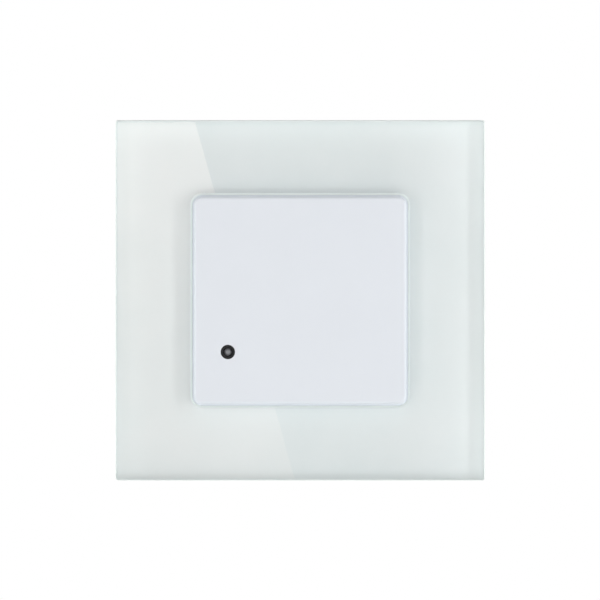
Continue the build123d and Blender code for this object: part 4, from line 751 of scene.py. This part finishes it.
def one_sided(material, shader, output):
    """Finishes a material that shows on a sheet's front and lets all through at its back."""
    side = add(material, "NewGeometry")
    nothing = add(material, "BsdfTransparent")
    parts = {"Fac": (side, "Backfacing"), 1: (shader, output), 2: (nothing, "BSDF")}
    mix = add(material, "MixShader", links=parts)
    add(material, "OutputMaterial", links={"Surface": (mix, "Shader")})


def stage_sheet(name, corners, material):
    """A flat sheet of the studio, which isn't part of the sensor."""
    mesh = bpy.data.meshes.new(name)
    mesh.from_pydata(corners, [], [(0, 1, 2, 3)])
    mesh.materials.append(material)
    sheet = bpy.data.objects.new(name, mesh)
    bpy.context.scene.collection.objects.link(sheet)
    return sheet


paper = blank("pale_floor_paper")
place = add(paper, "TexCoord")
fibre = {"Scale": 1 / FIBRE_CLOUDS, "Detail": 4.0}
cloud = add(paper, "TexNoise", fibre, {"Vector": (place, "Object")})
colours = {"stops": [(0.3, "ececea"), (0.7, "f0f0ee")]}
tint = add(paper, "ValToRGB", colours, {"Fac": (cloud, "Fac")})
shaded = add(paper, "BsdfPrincipled", {"Roughness": 0.85}, {"Base Color": (tint, "Color")})
pale = add(paper, "Emission", {"Strength": PALE_LEVEL}, {"Color": (tint, "Color")})
share = {"operation": "MULTIPLY", 1: PALE_SHARE}
seen = add(paper, "Math", share, {0: (seen_rays(paper), "Value")})
parts = {"Fac": (seen, "Value"), 1: (shaded, "BSDF"), 2: (pale, "Emission")}
upper = add(paper, "MixShader", links=parts)
one_sided(paper, upper, "Shader")
corners = [(-FLOOR_HALF, FLOOR_FRONT), (FLOOR_HALF, FLOOR_FRONT)]
corners += [(FLOOR_HALF, FLOOR_HALF), (-FLOOR_HALF, FLOOR_HALF)]
stage_sheet("floor", [(x, y, FLOOR_LEVEL) for x, y in corners], paper)


# Studio light: a panel at the left behind the camera, whose slanting edge the glass mirrors,
# a softer one at the right, one from each side and one from below, none from above. One more
# at each side, level with the glass, grazes it. White paper round the sensor gives the rest.
def light_panel(name, corners, strength, fade=None, colour="ffffff"):
    """A glowing panel that faces the sensor. Fade takes its strength to weakest along a line."""
    glow = blank(name)
    source = add(glow, "Emission", {"Color": linear(colour), "Strength": strength})
    if fade:
        place = add(glow, "TexCoord")
        line = {"operation": "DOT_PRODUCT", 1: fade["along"]}
        across = add(glow, "VectorMath", line, {0: (place, "Object")})
        span = {"From Min": fade["start"], "From Max": fade["end"]}
        span.update({"To Min": strength, "To Max": fade["weakest"]})
        level = add(glow, "MapRange", span, {"Value": (across, "Value")})
        glow.node_tree.links.new(level.outputs["Result"], source.inputs["Strength"])
    one_sided(glow, source, "Emission")
    # A sheet's front is the side that its corners run round anticlockwise. It faces the sensor.
    first, second, third = (Vector(corner) for corner in corners[:3])
    if (second - first).cross(third - second).dot(first) > 0:
        corners.reverse()
    panel = stage_sheet(name, corners, glow)
    panel.visible_camera = False


def upright(first, second, low, high):
    """The corners of an upright panel that stands over the line between two (x, y) places."""
    return [(*first, low), (*second, low), (*second, high), (*first, high)]


# The glass mirrors this panel's edge to the camera as a line that crosses the glass's middle
# height at EDGE_ON_GLASS. It leans left by SLANT for each metre up.
CAMERA_TO_GLASS = 1.0
MIRROR_DEPTH = -1.3
EDGE_ON_GLASS = -12.26 * MM
SLANT = 0.279
PANEL_HALF = 0.35
PANEL_WIDTH = 0.30
glass_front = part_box("glass_panel")[0].y
mirror_scale = (CAMERA_TO_GLASS + glass_front - MIRROR_DEPTH) / CAMERA_TO_GLASS
edge_at_middle = EDGE_ON_GLASS * mirror_scale
edge_high = edge_at_middle - SLANT * PANEL_HALF
edge_low = edge_at_middle + SLANT * PANEL_HALF
light_panel(
    "left_panel",
    [
        (edge_low - PANEL_WIDTH, MIRROR_DEPTH, -PANEL_HALF),
        (edge_low, MIRROR_DEPTH, -PANEL_HALF),
        (edge_high, MIRROR_DEPTH, PANEL_HALF),
        (edge_high - PANEL_WIDTH, MIRROR_DEPTH, PANEL_HALF),
    ],
    strength=3.3,
    fade={"along": (0, 0, 1), "start": 0.06, "end": -0.09, "weakest": 1.8},
    colour="ffede5",
)

RIGHT_EDGE = 0.045
right_near = (RIGHT_EDGE, MIRROR_DEPTH)
right_far = (RIGHT_EDGE + PANEL_WIDTH, MIRROR_DEPTH)
light_panel(
    "right_panel",
    upright(right_near, right_far, -PANEL_HALF, PANEL_HALF),
    strength=3.0,
    fade={"along": (1, 0, 0), "start": 0.085, "end": RIGHT_EDGE, "weakest": 1.0},
)

# The side panels stand between the front and the side.
SIDE_HALF = 0.4
RIGHT_SIDE = ((0.62, -0.80), (0.74, -0.66))
LEFT_SIDE = ((-0.52, -0.80), (-0.62, -0.70))
light_panel("right_side_panel", upright(*RIGHT_SIDE, -SIDE_HALF, SIDE_HALF), strength=4.6)
light_panel("left_side_panel", upright(*LEFT_SIDE, -SIDE_HALF, SIDE_HALF), strength=3.0)

# The edge panels light the upright rims and only graze the faces that look to the front.
EDGE_ASIDE = 0.6
EDGE_FORWARD = 0.15
LEFT_RIM = ((-EDGE_ASIDE, -EDGE_FORWARD), (-EDGE_ASIDE, 0.0))
RIGHT_RIM = ((EDGE_ASIDE, -EDGE_FORWARD), (EDGE_ASIDE, 0.0))
light_panel("left_edge_panel", upright(*LEFT_RIM, -SIDE_HALF, SIDE_HALF), strength=4.8)
light_panel("right_edge_panel", upright(*RIGHT_RIM, -SIDE_HALF, SIDE_HALF), strength=4.2)

LOW_HALF = 0.25
LOW_FORWARD = 0.40
LOW_BOTTOM = -0.25
LOW_TOP = -0.08
LOW_FRONT = ((-LOW_HALF, -LOW_FORWARD), (LOW_HALF, -LOW_FORWARD))
light_panel("low_panel", upright(*LOW_FRONT, LOW_BOTTOM, LOW_TOP), strength=1.45)

# The paper all round is dimmer in front of the sensor and overhead than behind it. Its level
# follows the Y and Z of the direction that it is seen in.
FRONT = 0.41
BEHIND = 1.02
FRONT_ENDS = -0.6
BEHIND_STARTS = 0.1
ABOVE = 0.50
RISE_STARTS = 0.1
RISE_ENDS = 0.7
HALF_A_BOUNCE = 0.5
world = bpy.data.worlds.new("paper_light")
world.use_nodes = True
world.node_tree.nodes.clear()
bpy.context.scene.world = world
place = add(world, "TexCoord")
split = add(world, "SeparateXYZ", links={"Vector": (place, "Generated")})
span = {"From Min": FRONT_ENDS, "From Max": BEHIND_STARTS, "To Min": FRONT, "To Max": BEHIND}
depth = add(world, "MapRange", span, {"Value": (split, "Y")})
span = {"From Min": RISE_STARTS, "From Max": RISE_ENDS, "To Min": 1.0, "To Max": ABOVE}
height = add(world, "MapRange", span, {"Value": (split, "Z")})
both = {0: (depth, "Result"), 1: (height, "Result")}
level = add(world, "Math", {"operation": "MULTIPLY"}, both)
soft = add(world, "Background", {"Color": linear("ffffff")}, {"Strength": (level, "Value")})

# A viewer sees it plain white, as long as no matt surface has scattered the light before.
white = add(world, "Background", {"Color": linear("ffffff"), "Strength": 1.0})
rays = add(world, "LightPath")
unscattered = {"operation": "LESS_THAN", 1: HALF_A_BOUNCE}
direct = add(world, "Math", unscattered, {0: (rays, "Diffuse Depth")})
both = {0: (seen_rays(world), "Value"), 1: (direct, "Value")}
seen = add(world, "Math", {"operation": "MULTIPLY"}, both)
parts = {"Fac": (seen, "Value"), 1: (soft, "Background"), 2: (white, "Background")}
shader = add(world, "MixShader", links=parts)
add(world, "OutputWorld", links={"Surface": (shader, "Shader")})
bpy.context.scene.view_settings.view_transform = "Standard"


# Camera: straight in front, a metre from the glass, with a lens long enough to fill the
# frame as the photograph does. It stands off the glass's middle by under half a pixel
# each way.
PHOTO_WIDTH = 133.1 * MM
CAMERA_ASIDE = -0.05 * MM
CAMERA_UP = 0.08 * MM
FILM_WIDTH = 36.0
lens_data = bpy.data.cameras.new("camera")
lens_data.sensor_width = FILM_WIDTH
lens_data.lens = FILM_WIDTH * CAMERA_TO_GLASS / PHOTO_WIDTH
camera = bpy.data.objects.new("camera", lens_data)
camera.location = (CAMERA_ASIDE, glass_front - CAMERA_TO_GLASS, CAMERA_UP)
camera.rotation_euler = (math.pi / 2, 0, 0)
bpy.context.scene.collection.objects.link(camera)
bpy.context.scene.camera = camera
